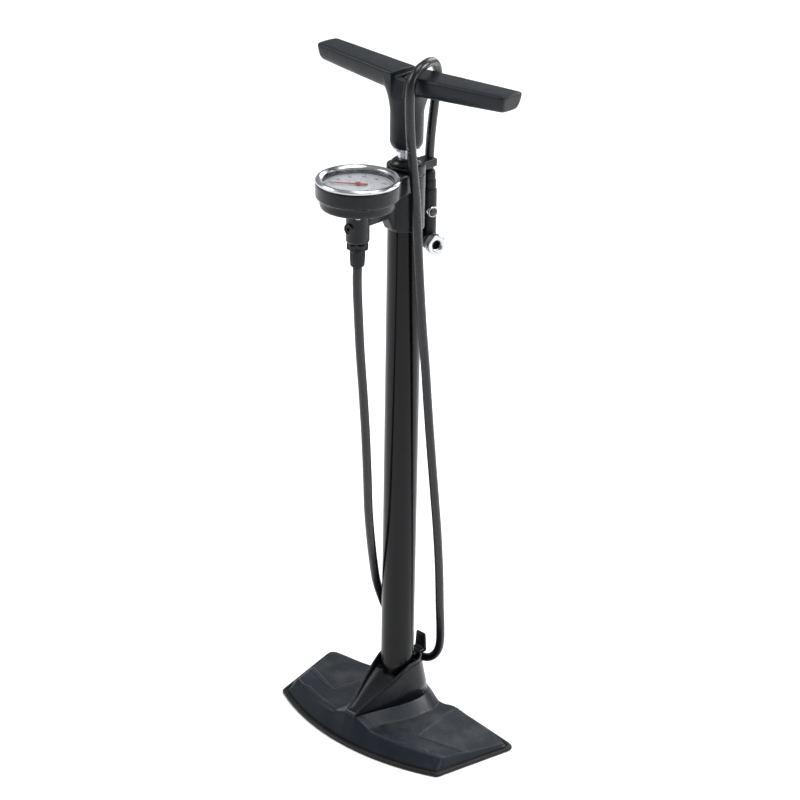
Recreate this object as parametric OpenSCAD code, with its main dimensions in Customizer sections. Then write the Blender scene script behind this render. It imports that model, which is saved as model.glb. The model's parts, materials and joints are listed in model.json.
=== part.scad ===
/* [Base] */
// Radius of the curved front edge of the base
base_front_r = 259; // [220:1:330]
// Half width of the base at its front corners
base_front_half_w = 113; // [95:1:135]
// Half width of the base at its back corners
base_back_half_w = 134; // [115:1:160]
// Distance from the barrel axis to the front edge
base_front_y = 84; // [80:1:105]
// Distance from the barrel axis to the back corners
base_back_y = 37; // [30:1:60]
// Thickness of the rim that stands on the floor
sole_h = 4; // [3:0.5:6]
// Width of the rim left showing round the base shell
rim_w = 5.5; // [3:0.5:8]
// Height of the foot pads on the centre line
pad_h = 18.6; // [15:0.1:24]
// Wall of the base shell
base_wall = 3; // [2:0.5:4]
// Height of the skirt that carries the shroud
skirt_h = 28; // [26:1:36]

/* [Shroud] */
// Radius of the round back of the shroud at its foot
shroud_foot_r = 27; // [25:1:32]
// Radius of the round back of the shroud at its rim
shroud_rim_r = 20.8; // [20.2:0.1:24]
// Distance from the barrel axis to the tip of the shroud
shroud_tip_y = 68; // [56:1:74]
// Height of the rim behind the barrel
shroud_rim_h = 69; // [62:1:84]
// Rise of the sloping rim per millimetre
rim_slope = 0.583; // [0.45:0.01:0.6]
// Wall beside the pocket
shroud_wall = 2.4; // [1.6:0.1:3]

/* [Barrel] */
// Outer radius of the barrel
barrel_r = 17; // [16.5:0.1:18]
// Wall of the barrel
barrel_wall = 1.2; // [0.8:0.1:1.3]
// Height of the top end of the barrel
barrel_top_z = 588; // [480:1:720]
// Bore radius of the inner cylinder
cylinder_bore_r = 12.8; // [11.5:0.1:13.2]
// Wall of the inner cylinder
cylinder_wall = 1.2; // [0.8:0.1:1.3]
// Radius of the rod
rod_r = 8; // [6:0.1:8.5]
// Wall of the rod
rod_wall = 1.7; // [1.2:0.1:2.2]

/* [Gauge] */
// Distance from the barrel axis to the gauge axis
gauge_y = 64; // [60:1:74]
// Outer radius of the gauge cup
cup_r = 40; // [38:1:42]
// Radius of the lower tier of the cup
tier_r = 36; // [35:1:37]
// Wall of the cup
cup_wall = 2.2; // [1.6:0.1:2.6]
// Radius of the opening in the bezel
bezel_open_r = 33.5; // [31:0.5:34]

/* [Handle] */
// Half length of the handle
handle_half_len = 120; // [100:1:145]
// Width of the handle beside the centre
handle_w = 34; // [30:0.5:38]
// Width of the handle at its tips
handle_tip_w = 27; // [22:0.5:30]
// Height of the handle section beside the centre
handle_h = 20; // [17:0.5:23]
// Sweep of the handle tips towards the back
handle_sweep = 10; // [0:1:16]
// Radius of the stem under the handle
stem_r = 16; // [14:0.1:17.5]

/* [Hose and head] */
// Outside diameter of the hose
hose_d = 9; // [7:0.5:9.4]
// Radius of the head body
head_r = 8.1; // [7.8:0.1:8.4]
// Radius of the hole in the nozzle collar
nozzle_hole_r = 4.1; // [3.9:0.1:4.3]
// Radius of the knurled nozzle collar
collar_r = 10; // [9:0.1:11]

/* [Hidden] */
$fn = 64;

// Clearances
fit = 0.05;          // radial, between pieces assembled together
run = 0.06;          // radial, between a moving piece and its guide
part_gap = 0.3;      // along the axis, between a moving piece and its neighbour
over = 1;            // how far a cut runs past the face it opens

// Heights up the barrel
foot_z = skirt_h + 4;
barrel_bottom_z = foot_z + 4;
barrel_in_r = barrel_r - barrel_wall;
cylinder_out_r = cylinder_bore_r + cylinder_wall;
cylinder_bottom_z = foot_z + 22;
plug_top_z = cylinder_bottom_z + 6;
cylinder_top_z = barrel_top_z - 16;
piston_z = plug_top_z + 0.5;
piston_h = 17.5;
rod_bottom_z = piston_z + piston_h + part_gap;
cap_z = barrel_top_z + 12;
cap_h = 8;
cap_top_z = cap_z + cap_h;
guide_top_z = cap_top_z + 6;
stem_z = guide_top_z + 11;
handle_z = stem_z + 72.5;       // top of the handle beside the centre
tip_rise = 2.5;                 // how much higher the tips are
collar_out_r = barrel_r + 1.7;
guide_r = 14.2;

// Sweep a closed round tube along points
function unit(v) = v / norm(v);
function heading(p, i) = unit(p[min(i + 1, len(p) - 1)] - p[max(i - 1, 0)]);
function across(v, t) = unit(v - (v * t) * t);
function ring_frames(p, i = 0, up = [1, 0, 0], out = []) =
    i == len(p) ? out :
    let (t = heading(p, i), n = across(up, t))
    ring_frames(p, i + 1, n, concat(out, [[n, cross(t, n)]]));
module tube_along(p, r, sides) {
    f = ring_frames(p, 0, abs(heading(p, 0).x) > 0.9 ? [0, 1, 0] : [1, 0, 0]);
    points = [for (i = [0:len(p) - 1], k = [0:sides - 1])
        p[i] + r * (cos(360 * k / sides) * f[i][0] + sin(360 * k / sides) * f[i][1])];
    last = (len(p) - 1) * sides;
    walls = [for (i = [0:len(p) - 2], k = [0:sides - 1])
        let (a = i * sides + k, b = i * sides + (k + 1) % sides)
        [a, a + sides, b + sides, b]];
    ends = [[for (k = [0:sides - 1]) k], [for (k = [sides - 1:-1:0]) last + k]];
    polyhedron(points, concat(walls, ends), 6);
}
function coil_points(r, z0, z1, turns, steps) =
    [for (i = [0:turns * steps])
        [r * cos(360 * i / steps), r * sin(360 * i / steps), z0 + (z1 - z0) * i / (turns * steps)]];

// Join two closed rings with the same number of points into a solid
module ring_loft(low, high) {
    n = len(low);
    half = floor(n / 2);
    walls = [for (i = [0:n - 1]) [i, i + n, (i + 1) % n + n, (i + 1) % n]];
    floor_faces = [for (i = [0:half - 1]) [i, i + 1, n - 2 - i, n - 1 - i]];
    roof_faces = [for (i = [0:half - 1]) [n + i, 2 * n - 1 - i, 2 * n - 2 - i, n + i + 1]];
    polyhedron(concat(low, high), concat(walls, floor_faces, roof_faces), 4);
}

// An outline whose corners are rounded with arcs of arc_steps steps
arc_steps = 5;
function corner_arc(a, b, c, r) =
    let (u = unit(a - b), v = unit(c - b), half_angle = acos(u * v) / 2,
         centre = b + unit(u + v) * r / sin(half_angle),
         start = b + u * r / tan(half_angle) - centre, end = b + v * r / tan(half_angle) - centre)
    [for (k = [0:arc_steps]) centre + r * unit(start + (end - start) * k / arc_steps)];

// Base outline, right half, from the front centre round to the back centre
front_arc_steps = 10;
base_centre_y = base_front_r - base_front_y;
front_angle = asin(base_front_half_w / base_front_r);
back_mid = [61, base_back_y + 9];
back_inner = [46, base_back_y + 9];
back_notch = [38, base_back_y + 3.5];
function front_arc(inset, from, to) =
    [for (k = [0:front_arc_steps]) let (a = from + (to - from) * k / front_arc_steps)
        [(base_front_r - inset) * sin(a), base_centre_y - (base_front_r - inset) * cos(a)]];
function half_outline(front_in, end_in, back_in, corner_r) =
    let (tip_angle = asin((base_front_half_w - end_in) / (base_front_r - front_in)),
         arc = front_arc(front_in, 0, tip_angle), n = len(arc),
         front_corner = arc[n - 1], back_corner = [base_back_half_w - end_in, base_back_y - back_in],
         mid = back_mid - [0, back_in], inner = back_inner - [0, back_in],
         notch = back_notch - [0, back_in])
    concat([for (k = [0:n - 3]) arc[k]],
        corner_arc(arc[n - 2], front_corner, back_corner, corner_r),
        corner_arc(front_corner, back_corner, mid, corner_r),
        [mid, inner, notch, [0, notch.y + 1]]);
function mirrored(h) = concat(h, [for (k = [len(h) - 2:-1:1]) [-h[k].x, h[k].y]]);
function pad_z(p) = pad_h - 0.062 * abs(p.x) - 0.054 * p.y;

// The part of a half outline that lies past x = from_x
function from_line(h, from_x) = from_x == 0 ? h :
    concat([[from_x, h[1].y]], [for (k = [2:len(h) - 2]) h[k]], [[from_x, h[len(h) - 1].y]]);

// One half of the base shell, or of the hollow inside it
module pad_half(inset, z0, drop, from_x) {
    edge_in = rim_w + inset;
    foot = from_line(half_outline(edge_in, edge_in, edge_in, 6), from_x);
    top = from_line(half_outline(edge_in + 10.5, edge_in + 2.5, edge_in + 2, 6), from_x);
    low = [for (p = foot) [p.x, p.y, z0]];
    high = [for (p = top) [p.x, p.y, pad_z(p) - drop]];
    n = len(low);
    centre_low = [from_x, 0, z0];
    centre_high = [from_x, 0, pad_z([from_x, 0]) - drop];
    points = concat(low, high, [centre_low, centre_high]);
    walls = [for (i = [0:n - 2]) [i, i + n, i + 1 + n, i + 1]];
    floor_faces = [for (i = [0:n - 2]) [i, i + 1, 2 * n]];
    roof_faces = [for (i = [0:n - 2]) [2 * n + 1, n + i + 1, n + i]];
    inner_wall = [[0, 2 * n, 2 * n + 1, n], [2 * n, n - 1, 2 * n - 1, 2 * n + 1]];
    polyhedron(points, concat(walls, floor_faces, roof_faces, inner_wall), 4);
}

// Shroud outlines: a pointed front that widens into a round back
side_steps = 10;
back_steps = 12;
shroud_back_y = 8;
shroud_rim_back_y = 6;
tip_half_w = 6.5;
function side_w(s, r, tip_w) = tip_w + (r - tip_w) * pow(sin(90 * s), 1.3);
function shroud_half(r, back_y, tip_y, tip_w) = concat(
    [[0, tip_y]],
    [for (k = [0:side_steps]) let (s = k / side_steps)
        [side_w(s, r, tip_w), tip_y + (back_y - tip_y) * s]],
    [for (k = [1:back_steps / 2]) let (a = 180 * k / back_steps)
        [r * cos(a), back_y + r * sin(a)]]);
function rim_z(y) = min(shroud_rim_h, shroud_rim_h + 2 + rim_slope * y);
pocket_floor_h = shroud_rim_h - 13;
function pocket_z(y) = min(pocket_floor_h, rim_z(y) - 7.5 * (y + shroud_tip_y) / shroud_tip_y - 0.8);
skirt_w = 11;                    // how far the skirt spreads round the shroud
nose_half_w = 24;
nose_y = -base_front_y + 12;
nose_z = pad_h + 1.2;
function nose(half_w, y, depth) = [[-half_w, y], [half_w, y], [0, y + depth]];
skirt_back_y = -5;
skirt_outline = mirrored(shroud_half(shroud_foot_r + skirt_w, skirt_back_y,
    nose_y + 6, nose_half_w - 3));
foot_outline = mirrored(shroud_half(shroud_foot_r, shroud_back_y, -shroud_tip_y, tip_half_w));
rim_outline = mirrored(shroud_half(shroud_rim_r, shroud_rim_back_y, -shroud_tip_y, tip_half_w));
pocket_outline = mirrored(shroud_half(shroud_rim_r - shroud_wall, shroud_rim_back_y,
    -shroud_tip_y + 1.6 * shroud_wall, tip_half_w - shroud_wall));

// Hose hook behind the shroud
hook_half_w = 7.5;
hook_z = shroud_rim_h - 7;
hook_lip_h = 5;
hook_top_z = shroud_rim_h + 15;
hook_back_y = 38;
hook_tab = 4.5;

// Base fastenings
bolt_r = 4;
bolt_head_r = 6.5;
bolt_head_z = 12;
bolt_head_h = 6;
screw_r = 1.5;
screw_head_r = 3.2;
screw_places = [[98, -38], [112, 18], [-98, -38], [-112, 18]];
boss_r = 4;
keel_half_w = 14;

module sole() {
    color("#1b1d20") difference() {
        linear_extrude(sole_h) polygon(mirrored(half_outline(0, 0, 0, 9)));
        translate([0, 0, -over]) cylinder(h = sole_h + 2 * over, r = bolt_head_r + 1);
        for (p = screw_places) translate([p.x, p.y, 0]) {
            translate([0, 0, -over]) cylinder(h = over + 2.4, r = screw_head_r + 0.4);
            cylinder(h = sole_h + over, r = screw_r + 0.3);
        }
    }
}

module sole_screws() {
    color("silver") for (p = screw_places) translate([p.x, p.y, 0]) difference() {
        union() {
            translate([0, 0, 0.6]) cylinder(h = 1.8, r = screw_head_r);
            translate([0, 0, 2.4]) cylinder(h = 6, r = screw_r);
        }
        cylinder(h = 1.4, r = 1.3, $fn = 6);
    }
}

module base_plate() {
    color("#26292e") difference() {
        union() {
            difference() {
                for (side = [0, 1]) mirror([side, 0, 0]) pad_half(0, sole_h, 0, 0);
                for (side = [0, 1]) mirror([side, 0, 0])
                    pad_half(base_wall, sole_h - over, base_wall, keel_half_w);
            }
            intersection() {
                for (side = [0, 1]) mirror([side, 0, 0]) pad_half(0, sole_h, 0, 0);
                for (p = screw_places) translate([p.x, p.y, sole_h]) cylinder(h = pad_h, r = boss_r);
            }
            ring_loft([for (p = skirt_outline) [p.x, p.y, pad_z(p) - 0.6]],
                [for (p = foot_outline) [p.x, p.y, skirt_h]]);
            hull() {
                translate([0, 0, rim_z(-shroud_tip_y) - 1.5]) linear_extrude(1)
                    polygon(nose(tip_half_w, -shroud_tip_y, 12));
                translate([0, 0, nose_z]) linear_extrude(1)
                    polygon(nose(nose_half_w, nose_y, 30));
                translate([0, 0, sole_h]) linear_extrude(1)
                    polygon(nose(nose_half_w + 4, nose_y - 4, 40));
            }
        }
        translate([0, 0, skirt_h]) linear_extrude(2 * skirt_h) polygon(foot_outline);
        translate([-100, -100, -100 + sole_h]) cube([200, 200, 100]);
        translate([0, 0, -over]) cylinder(h = bolt_head_z + bolt_head_h + over, r = bolt_head_r + 1);
        cylinder(h = skirt_h + over, r = bolt_r + 2 * fit);
        for (p = screw_places) translate([p.x, p.y, sole_h - over]) cylinder(h = 6, r = screw_r + fit);
    }
}

module shroud() {
    color("#1d2024") difference() {
        union() {
            ring_loft([for (p = foot_outline) [p.x, p.y, skirt_h]],
                [for (p = rim_outline) [p.x, p.y, rim_z(p.y)]]);
            translate([-hook_half_w, shroud_rim_r, hook_z])
                cube([2 * hook_half_w, hook_back_y - shroud_rim_r, hook_lip_h]);
            hull() {
                translate([-hook_half_w, hook_back_y - hook_tab, hook_z])
                    cube([2 * hook_half_w, hook_tab, hook_lip_h]);
                translate([-hook_half_w + 1.5, hook_back_y - hook_tab + 0.5, hook_top_z - 1])
                    cube([2 * hook_half_w - 3, hook_tab - 1, 1]);
            }
        }
        ring_loft([for (p = pocket_outline) [p.x, p.y, pocket_z(p.y)]],
            [for (p = pocket_outline) [p.x, p.y, hook_top_z + over]]);
        translate([0, 0, foot_z]) cylinder(h = hook_top_z, r = barrel_r + fit);
        cylinder(h = foot_z + over, r = bolt_r + 2 * fit);
    }
}

module foot_bolt() {
    color("silver") difference() {
        union() {
            translate([0, 0, bolt_head_z]) cylinder(h = bolt_head_h, r = bolt_head_r);
            translate([0, 0, bolt_head_z + bolt_head_h])
                cylinder(h = foot_z + 6 - bolt_head_z - bolt_head_h, r = bolt_r);
        }
        translate([0, 0, bolt_head_z - over]) cylinder(h = 4, r = 3.4, $fn = 6);
    }
}

// Foot plug: closes the barrel, carries the inner cylinder and the check valve
valve_r = 6;
valve_z = foot_z + 9;
seat_z = foot_z + 18.5;
port_r = 3;
ring_section = 1.4;
ring_groove_z = foot_z + 7;
head_groove_z = cylinder_top_z + 12;
poppet_r = 4.6;
poppet_h = 2.5;
stem_pin_r = 1.4;
module foot_plug() {
    color("#9a9ea3") difference() {
        rotate_extrude() polygon([
            [0, foot_z], [barrel_r, foot_z], [barrel_r, barrel_bottom_z],
            [barrel_in_r - fit, barrel_bottom_z],
            [barrel_in_r - fit, ring_groove_z - ring_section],
            [barrel_in_r - 2, ring_groove_z - ring_section],
            [barrel_in_r - 2, ring_groove_z + ring_section],
            [barrel_in_r - fit, ring_groove_z + ring_section],
            [barrel_in_r - fit, foot_z + 12], [cylinder_out_r - 0.6, foot_z + 12],
            [cylinder_out_r - 0.6, cylinder_bottom_z], [cylinder_bore_r - fit, cylinder_bottom_z],
            [cylinder_bore_r - fit, plug_top_z], [0, plug_top_z]]);
        translate([0, 0, foot_z - over]) cylinder(h = 7 + over, r = bolt_r + fit);
        translate([0, 0, valve_z]) cylinder(h = seat_z - valve_z, r = valve_r);
        translate([0, 0, seat_z - over]) cylinder(h = plug_top_z - seat_z + 2 * over, r = port_r);
        for (turn = [0:90:270]) rotate([0, 90, turn])
            translate([-foot_z - 15, 0, 0]) cylinder(h = barrel_r, r = 1.5);
    }
}

module o_ring(z, out_r, section) {
    translate([0, 0, z]) rotate_extrude() translate([out_r - section, 0]) circle(r = section);
}

module foot_rings() {
    color("#141414") {
        o_ring(ring_groove_z, barrel_in_r, 0.98);
        o_ring(head_groove_z, barrel_in_r, 0.98);
    }
}

module check_poppet() {
    color("#c9a24a") rotate_extrude() polygon([
        [0, seat_z - part_gap - poppet_h - 3], [stem_pin_r, seat_z - part_gap - poppet_h - 3],
        [stem_pin_r, seat_z - part_gap - poppet_h], [poppet_r, seat_z - part_gap - poppet_h],
        [poppet_r, seat_z - part_gap - 0.8], [poppet_r - 0.8, seat_z - part_gap],
        [0, seat_z - part_gap]]);
}

spring_wire_r = 0.35;
module check_spring() {
    color("silver") tube_along(coil_points(2.8, valve_z + spring_wire_r + 0.05,
        seat_z - part_gap - poppet_h - spring_wire_r - 0.05, 4, 12), spring_wire_r, 6);
}

air_hole_z = barrel_top_z - 23;
module barrel() {
    color("#0b0b0d") difference() {
        translate([0, 0, barrel_bottom_z]) cylinder(h = barrel_top_z - barrel_bottom_z, r = barrel_r);
        translate([0, 0, barrel_bottom_z - over])
            cylinder(h = barrel_top_z - barrel_bottom_z + 2 * over, r = barrel_in_r);
        translate([0, 0, air_hole_z]) rotate([90, 0, 0]) cylinder(h = 2 * barrel_r, r = 2);
    }
}

module inner_cylinder() {
    color("silver") difference() {
        translate([0, 0, cylinder_bottom_z])
            cylinder(h = cylinder_top_z - cylinder_bottom_z, r = cylinder_out_r);
        translate([0, 0, cylinder_bottom_z - over])
            cylinder(h = cylinder_top_z - cylinder_bottom_z + 2 * over, r = cylinder_bore_r);
    }
}

module cylinder_head() {
    color("#9a9ea3") rotate_extrude() polygon([
        [rod_r + part_gap, cylinder_top_z - 6], [cylinder_bore_r - fit, cylinder_top_z - 6],
        [cylinder_bore_r - fit, cylinder_top_z], [barrel_in_r - fit, cylinder_top_z],
        [barrel_in_r - fit, head_groove_z - ring_section], [barrel_in_r - 2, head_groove_z - ring_section],
        [barrel_in_r - 2, head_groove_z + ring_section], [barrel_in_r - fit, head_groove_z + ring_section],
        [barrel_in_r - fit, barrel_top_z], [rod_r + part_gap, barrel_top_z]]);
}

seal_h = 4;
module rod_guide() {
    color("#17181b") difference() {
        rotate_extrude() polygon([
            [rod_r + run, barrel_top_z], [guide_r, barrel_top_z], [guide_r, cap_top_z],
            [guide_r + 0.6, cap_top_z + 0.2], [guide_r + 0.2, cap_top_z + 2.2],
            [guide_r - 1, cap_top_z + 4.2], [guide_r - 3, guide_top_z - 0.4],
            [guide_r - 4, guide_top_z], [rod_r + run, guide_top_z]]);
        translate([0, 0, guide_top_z - 8]) cylinder(h = seal_h, r = rod_r + 2.5);
    }
}

module rod_seal() {
    color("#202020") translate([0, 0, guide_top_z - 8 + fit]) difference() {
        cylinder(h = seal_h - 2 * fit, r = rod_r + 2.5 - fit);
        translate([0, 0, -over]) cylinder(h = seal_h + 2 * over, r = rod_r + 0.03);
    }
}

// Gauge housing: collar round the barrel, neck, cup and passage arm
collar_bottom_z = barrel_top_z - 43.5;
cup_top_z = cap_top_z - 2;
tier_z = cup_top_z - 15;
cup_floor_z = cup_top_z - 25;
cavity_r = tier_r - cup_wall;
cavity_z = cup_floor_z + 3;
arm_half_w = 6;
neck_half_w = collar_out_r;
outlet_r = 11.3;
outlet_bottom_z = cup_floor_z - 35.7;
housing_screw_places = [for (a = [45:90:315]) [30 * cos(a), 30 * sin(a)]];
module gauge_axis() { translate([0, -gauge_y, 0]) children(); }

module gauge_housing() {
    color("#131417") difference() {
        union() {
            translate([0, 0, collar_bottom_z]) cylinder(h = cap_z - collar_bottom_z, r = collar_out_r);
            gauge_axis() translate([0, 0, tier_z]) cylinder(h = cup_top_z - tier_z, r = cup_r);
            gauge_axis() translate([0, 0, cup_floor_z]) cylinder(h = tier_z - cup_floor_z, r = tier_r);
            translate([-neck_half_w, -gauge_y + cup_r * 0.7, cup_floor_z + 4])
                cube([2 * neck_half_w, gauge_y - cup_r * 0.7, cup_top_z - cup_floor_z - 4]);
            hull() {
                translate([-arm_half_w, -gauge_y + 28, cup_floor_z - 1]) cube([2 * arm_half_w, 1, 6]);
                translate([-arm_half_w, -barrel_r - 2, collar_bottom_z + 3]) cube([2 * arm_half_w, 3, 40]);
            }
            translate([-arm_half_w, -gauge_y + outlet_r - 2, air_hole_z - 5])
                cube([2 * arm_half_w, gauge_y - outlet_r - barrel_r + 3, cup_floor_z - air_hole_z + 6]);
        }
        translate([0, 0, collar_bottom_z - over])
            cylinder(h = barrel_top_z - collar_bottom_z + over, r = barrel_r + fit);
        cylinder(h = cap_top_z + over, r = guide_r + fit);
        translate([0, 0, cap_z]) cylinder(h = 2 * cap_h, r = collar_out_r + 0.1);
        gauge_axis() translate([0, 0, cavity_z]) cylinder(h = 2 * cup_r, r = cavity_r);
        gauge_axis() translate([0, 0, cup_top_z - 3]) cylinder(h = cup_r, r = cup_r - cup_wall);
        translate([0, 0, air_hole_z]) rotate([90, 0, 0]) cylinder(h = gauge_y - 5, r = 2);
        gauge_axis() translate([0, 0, outlet_bottom_z])
            cylinder(h = cup_floor_z - outlet_bottom_z, r = outlet_r + fit);
        gauge_axis() for (p = housing_screw_places)
            translate([p.x, p.y, cup_floor_z - over])
                cylinder(h = cavity_z - cup_floor_z + 2 * over, r = screw_r + fit);
        gauge_axis() translate([0, 0, cup_floor_z - over]) cylinder(h = 6, r = 2);
    }
}

module housing_screws() {
    color("silver") gauge_axis() for (p = housing_screw_places) translate([p.x, p.y, cup_floor_z - 1.2])
        difference() {
            union() {
                cylinder(h = 1.2, r = 2.6);
                cylinder(h = 4.2, r = screw_r);
            }
            translate([0, 0, -over]) cylinder(h = over + 0.8, r = 1.2, $fn = 6);
        }
}

// Top cap with the two fingers that hold the head
dock_y = 32;
finger_tip_y = dock_y + 3.5;
finger_w = 3;
dock_gap = hose_d / 2 + part_gap;
dock_z = cap_top_z - 1 - 8.5;
module top_cap() {
    color("#15161a") difference() {
        union() {
            translate([0, 0, cap_z]) cylinder(h = cap_h - 1, r = collar_out_r);
            translate([0, 0, cap_top_z - 1]) cylinder(h = 1, r1 = collar_out_r, r2 = collar_out_r - 1);
            translate([-dock_gap - finger_w, 12, dock_z])
                cube([2 * (dock_gap + finger_w), finger_tip_y - 12, 8.5]);
        }
        translate([-dock_gap, dock_y, dock_z - over]) cube([2 * dock_gap, 20, 8.5 + 2 * over]);
        translate([0, dock_y, dock_z - over]) cylinder(h = 8.5 + 2 * over, r = dock_gap);
        translate([0, 0, dock_z - over]) cylinder(h = cap_z - dock_z + over, r = collar_out_r + 0.1);
        translate([0, 0, cap_z - over]) cylinder(h = cap_h + 2 * over, r = guide_r + fit);
        gauge_axis() translate([0, 0, cup_top_z]) cylinder(h = cap_h, r = cup_r + part_gap);
    }
}

bezel_h = 3.4;
module bezel() {
    color("#d8dadd") gauge_axis() rotate_extrude() polygon([
        [bezel_open_r, cup_top_z + 0.6], [cup_r - cup_wall - 2, cup_top_z + 0.6],
        [cup_r - cup_wall - 2, cup_top_z - 2.5], [cup_r - cup_wall - fit, cup_top_z - 2.5],
        [cup_r - cup_wall - fit, cup_top_z], [cup_r, cup_top_z], [cup_r, cup_top_z + bezel_h - 1.6],
        [cup_r - 0.5, cup_top_z + bezel_h - 0.5], [cup_r - 1.6, cup_top_z + bezel_h],
        [bezel_open_r + 2, cup_top_z + bezel_h], [bezel_open_r, cup_top_z + bezel_h - 1.8]]);
}

module lens() {
    color("#dfe8ee", 0.3) gauge_axis() translate([0, 0, cup_top_z - 1])
        cylinder(h = 1.5, r = cup_r - cup_wall - 2 - fit);
}

dial_z = cup_top_z - 6;
module dial() {
    color("#e8e9ea") gauge_axis() difference() {
        translate([0, 0, dial_z]) cylinder(h = 0.8, r = cavity_r - 0.2);
        translate([0, 0, dial_z - over]) cylinder(h = 3, r = 1.6);
    }
}

// Gauge movement: sector turns the needle pinion
gear_module = 0.6;
pinion_teeth = 10;
sector_teeth = 60;
gear_gap = 21;                   // between the two gear axes
tooth_up = 0.4;
tooth_down = 0.7;
gear_z = cavity_z + 5.5;
gear_h = 1;
plate_r = 24.5;
lower_plate_z = cavity_z + 2;
upper_plate_z = cavity_z + 9.5;
plate_h = 1;
arbor_r = 1.2;
post_r = 1.6;
post_places = [for (a = [20, 160, 270]) [21.5 * cos(a), 21.5 * sin(a)]];
function pitch_r(teeth) = gear_module * teeth / 2;
module tooth(r) {
    polygon([[r - tooth_down - 0.3, -0.5], [r - tooth_down, -0.5], [r, -0.34], [r + tooth_up, -0.17],
        [r + tooth_up, 0.17], [r, 0.34], [r - tooth_down, 0.5], [r - tooth_down - 0.3, 0.5]]);
}
module sector_axis() { gauge_axis() translate([0, gear_gap, 0]) children(); }

module sector_gear() {
    r = pitch_r(sector_teeth);
    step = 360 / sector_teeth;
    color("#b9923f") sector_axis() difference() {
        translate([0, 0, gear_z]) linear_extrude(gear_h) {
            for (k = [-8:1]) rotate(270 + step * (k + 0.5)) tooth(r);
            difference() {
                intersection() {
                    circle(r = r - tooth_down);
                    polygon([[0, 2], for (k = [-8:2]) 25 * [cos(270 + step * k), sin(270 + step * k)]]);
                }
                circle(r = 14);
            }
            circle(r = 3);
            rotate(270 - 3.5 * step) translate([0, -1.5]) square([15, 3]);
        }
        translate([0, 0, gear_z - over]) cylinder(h = 4, r = arbor_r + run);
    }
}

module needle_pinion() {
    r = pitch_r(pinion_teeth);
    color("#b9923f") gauge_axis() {
        translate([0, 0, gear_z - 0.5]) linear_extrude(gear_h + 1) {
            circle(r = r - tooth_down);
            for (k = [0:pinion_teeth - 1]) rotate(90 + 360 * k / pinion_teeth) tooth(r);
        }
        translate([0, 0, lower_plate_z + 0.2]) cylinder(h = dial_z + 2 - lower_plate_z, r = 1);
    }
}

module movement_frame() {
    color("#a8863c") gauge_axis() {
        difference() {
            union() {
                translate([0, 0, lower_plate_z]) cylinder(h = plate_h, r = plate_r);
                translate([0, 0, upper_plate_z]) cylinder(h = plate_h, r = plate_r);
                for (p = post_places) translate([p.x, p.y, cavity_z])
                    cylinder(h = upper_plate_z - cavity_z, r = post_r);
                translate([0, gear_gap, lower_plate_z])
                    cylinder(h = upper_plate_z - lower_plate_z, r = arbor_r);
            }
            translate([0, 0, lower_plate_z - over]) cylinder(h = 20, r = 1 + run);
        }
    }
}

bourdon_r = 28.6;
module bourdon_tube() {
    color("#c49a4a") gauge_axis() {
        translate([0, 0, gear_z]) rotate([0, 0, 130]) rotate_extrude(angle = 250)
            translate([bourdon_r, 0]) circle(r = 2);
        translate([bourdon_r * cos(130) - 3, bourdon_r * sin(130) - 1.5, cavity_z]) cube([6, 4, 9]);
    }
}

needle_zero = 216;
module needle() {
    color("#c0241c") gauge_axis() translate([0, 0, dial_z + 2.2]) rotate([0, 0, needle_zero]) {
        linear_extrude(0.6) polygon([[-9, -1.6], [0, -1.4], [28, -0.3], [28, 0.3], [0, 1.4], [-9, 1.6]]);
        cylinder(h = 1.6, r = 2.6);
    }
}

// Outlet under the gauge, hose nut and ferrule
hose_nut_h = 7;
ferrule_h = 16.5;
ferrule_r = 7.5;
nut_z = outlet_bottom_z - hose_nut_h;
ferrule_z = nut_z - ferrule_h;
plug_boss_r = 5.6;
plug_z = outlet_bottom_z + 16;
module outlet_body() {
    color("#17181b") gauge_axis() difference() {
        union() {
            translate([0, 0, outlet_bottom_z + 2])
                cylinder(h = cup_floor_z - outlet_bottom_z - 2, r = outlet_r);
            translate([0, 0, outlet_bottom_z]) cylinder(h = 2, r1 = outlet_r - 2, r2 = outlet_r);
            translate([0, 0, plug_z]) rotate([90, 0, 0]) cylinder(h = 13, r = plug_boss_r);
        }
        translate([0, 0, outlet_bottom_z - over]) cylinder(h = 80, r = 3 + fit);
        translate([0, 0, air_hole_z]) rotate([-90, 0, 0]) cylinder(h = 20, r = 2);
        translate([0, 0, plug_z]) rotate([90, 0, 0]) cylinder(h = 20, r = 3.6 + fit);
        translate([0, -10.5, plug_z]) rotate([90, 0, 0]) cylinder(h = 10, r = 4.5);
        for (p = housing_screw_places) translate([p.x, p.y, cup_floor_z - 3]) cylinder(h = 4, r = 3.2);
    }
}

module outlet_plug() {
    color("#2a2c30") gauge_axis() translate([0, -4.2, plug_z]) rotate([90, 0, 0]) difference() {
        union() {
            cylinder(h = 6.5, r = 3.6);
            translate([0, 0, 6.4]) cylinder(h = 1.6, r = 4.3);
        }
        translate([0, 0, 6]) cylinder(h = 4, r = 2, $fn = 6);
    }
}

module hose_nut() {
    color("#101114") gauge_axis() difference() {
        translate([0, 0, nut_z]) intersection() {
            cylinder(h = hose_nut_h, r = 10.4, $fn = 6);
            cylinder(h = hose_nut_h, r1 = 9.2, r2 = 9.2 + 0.6 * hose_nut_h);
        }
        translate([0, 0, nut_z - over]) cylinder(h = hose_nut_h + 2 * over, r = 3 + fit);
        for (k = [0:5]) rotate([0, 0, 60 * k + 30]) translate([8, 0, nut_z + hose_nut_h / 2])
            rotate([0, 90, 0]) cylinder(h = 4, r = 1.6);
    }
}

module hose_barb() {
    color("#8c8f94") gauge_axis() difference() {
        translate([0, 0, ferrule_z + 3]) cylinder(h = air_hole_z - 6 - ferrule_z, r = 3);
        translate([0, 0, ferrule_z]) cylinder(h = 80, r = 1.6);
    }
}

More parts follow.
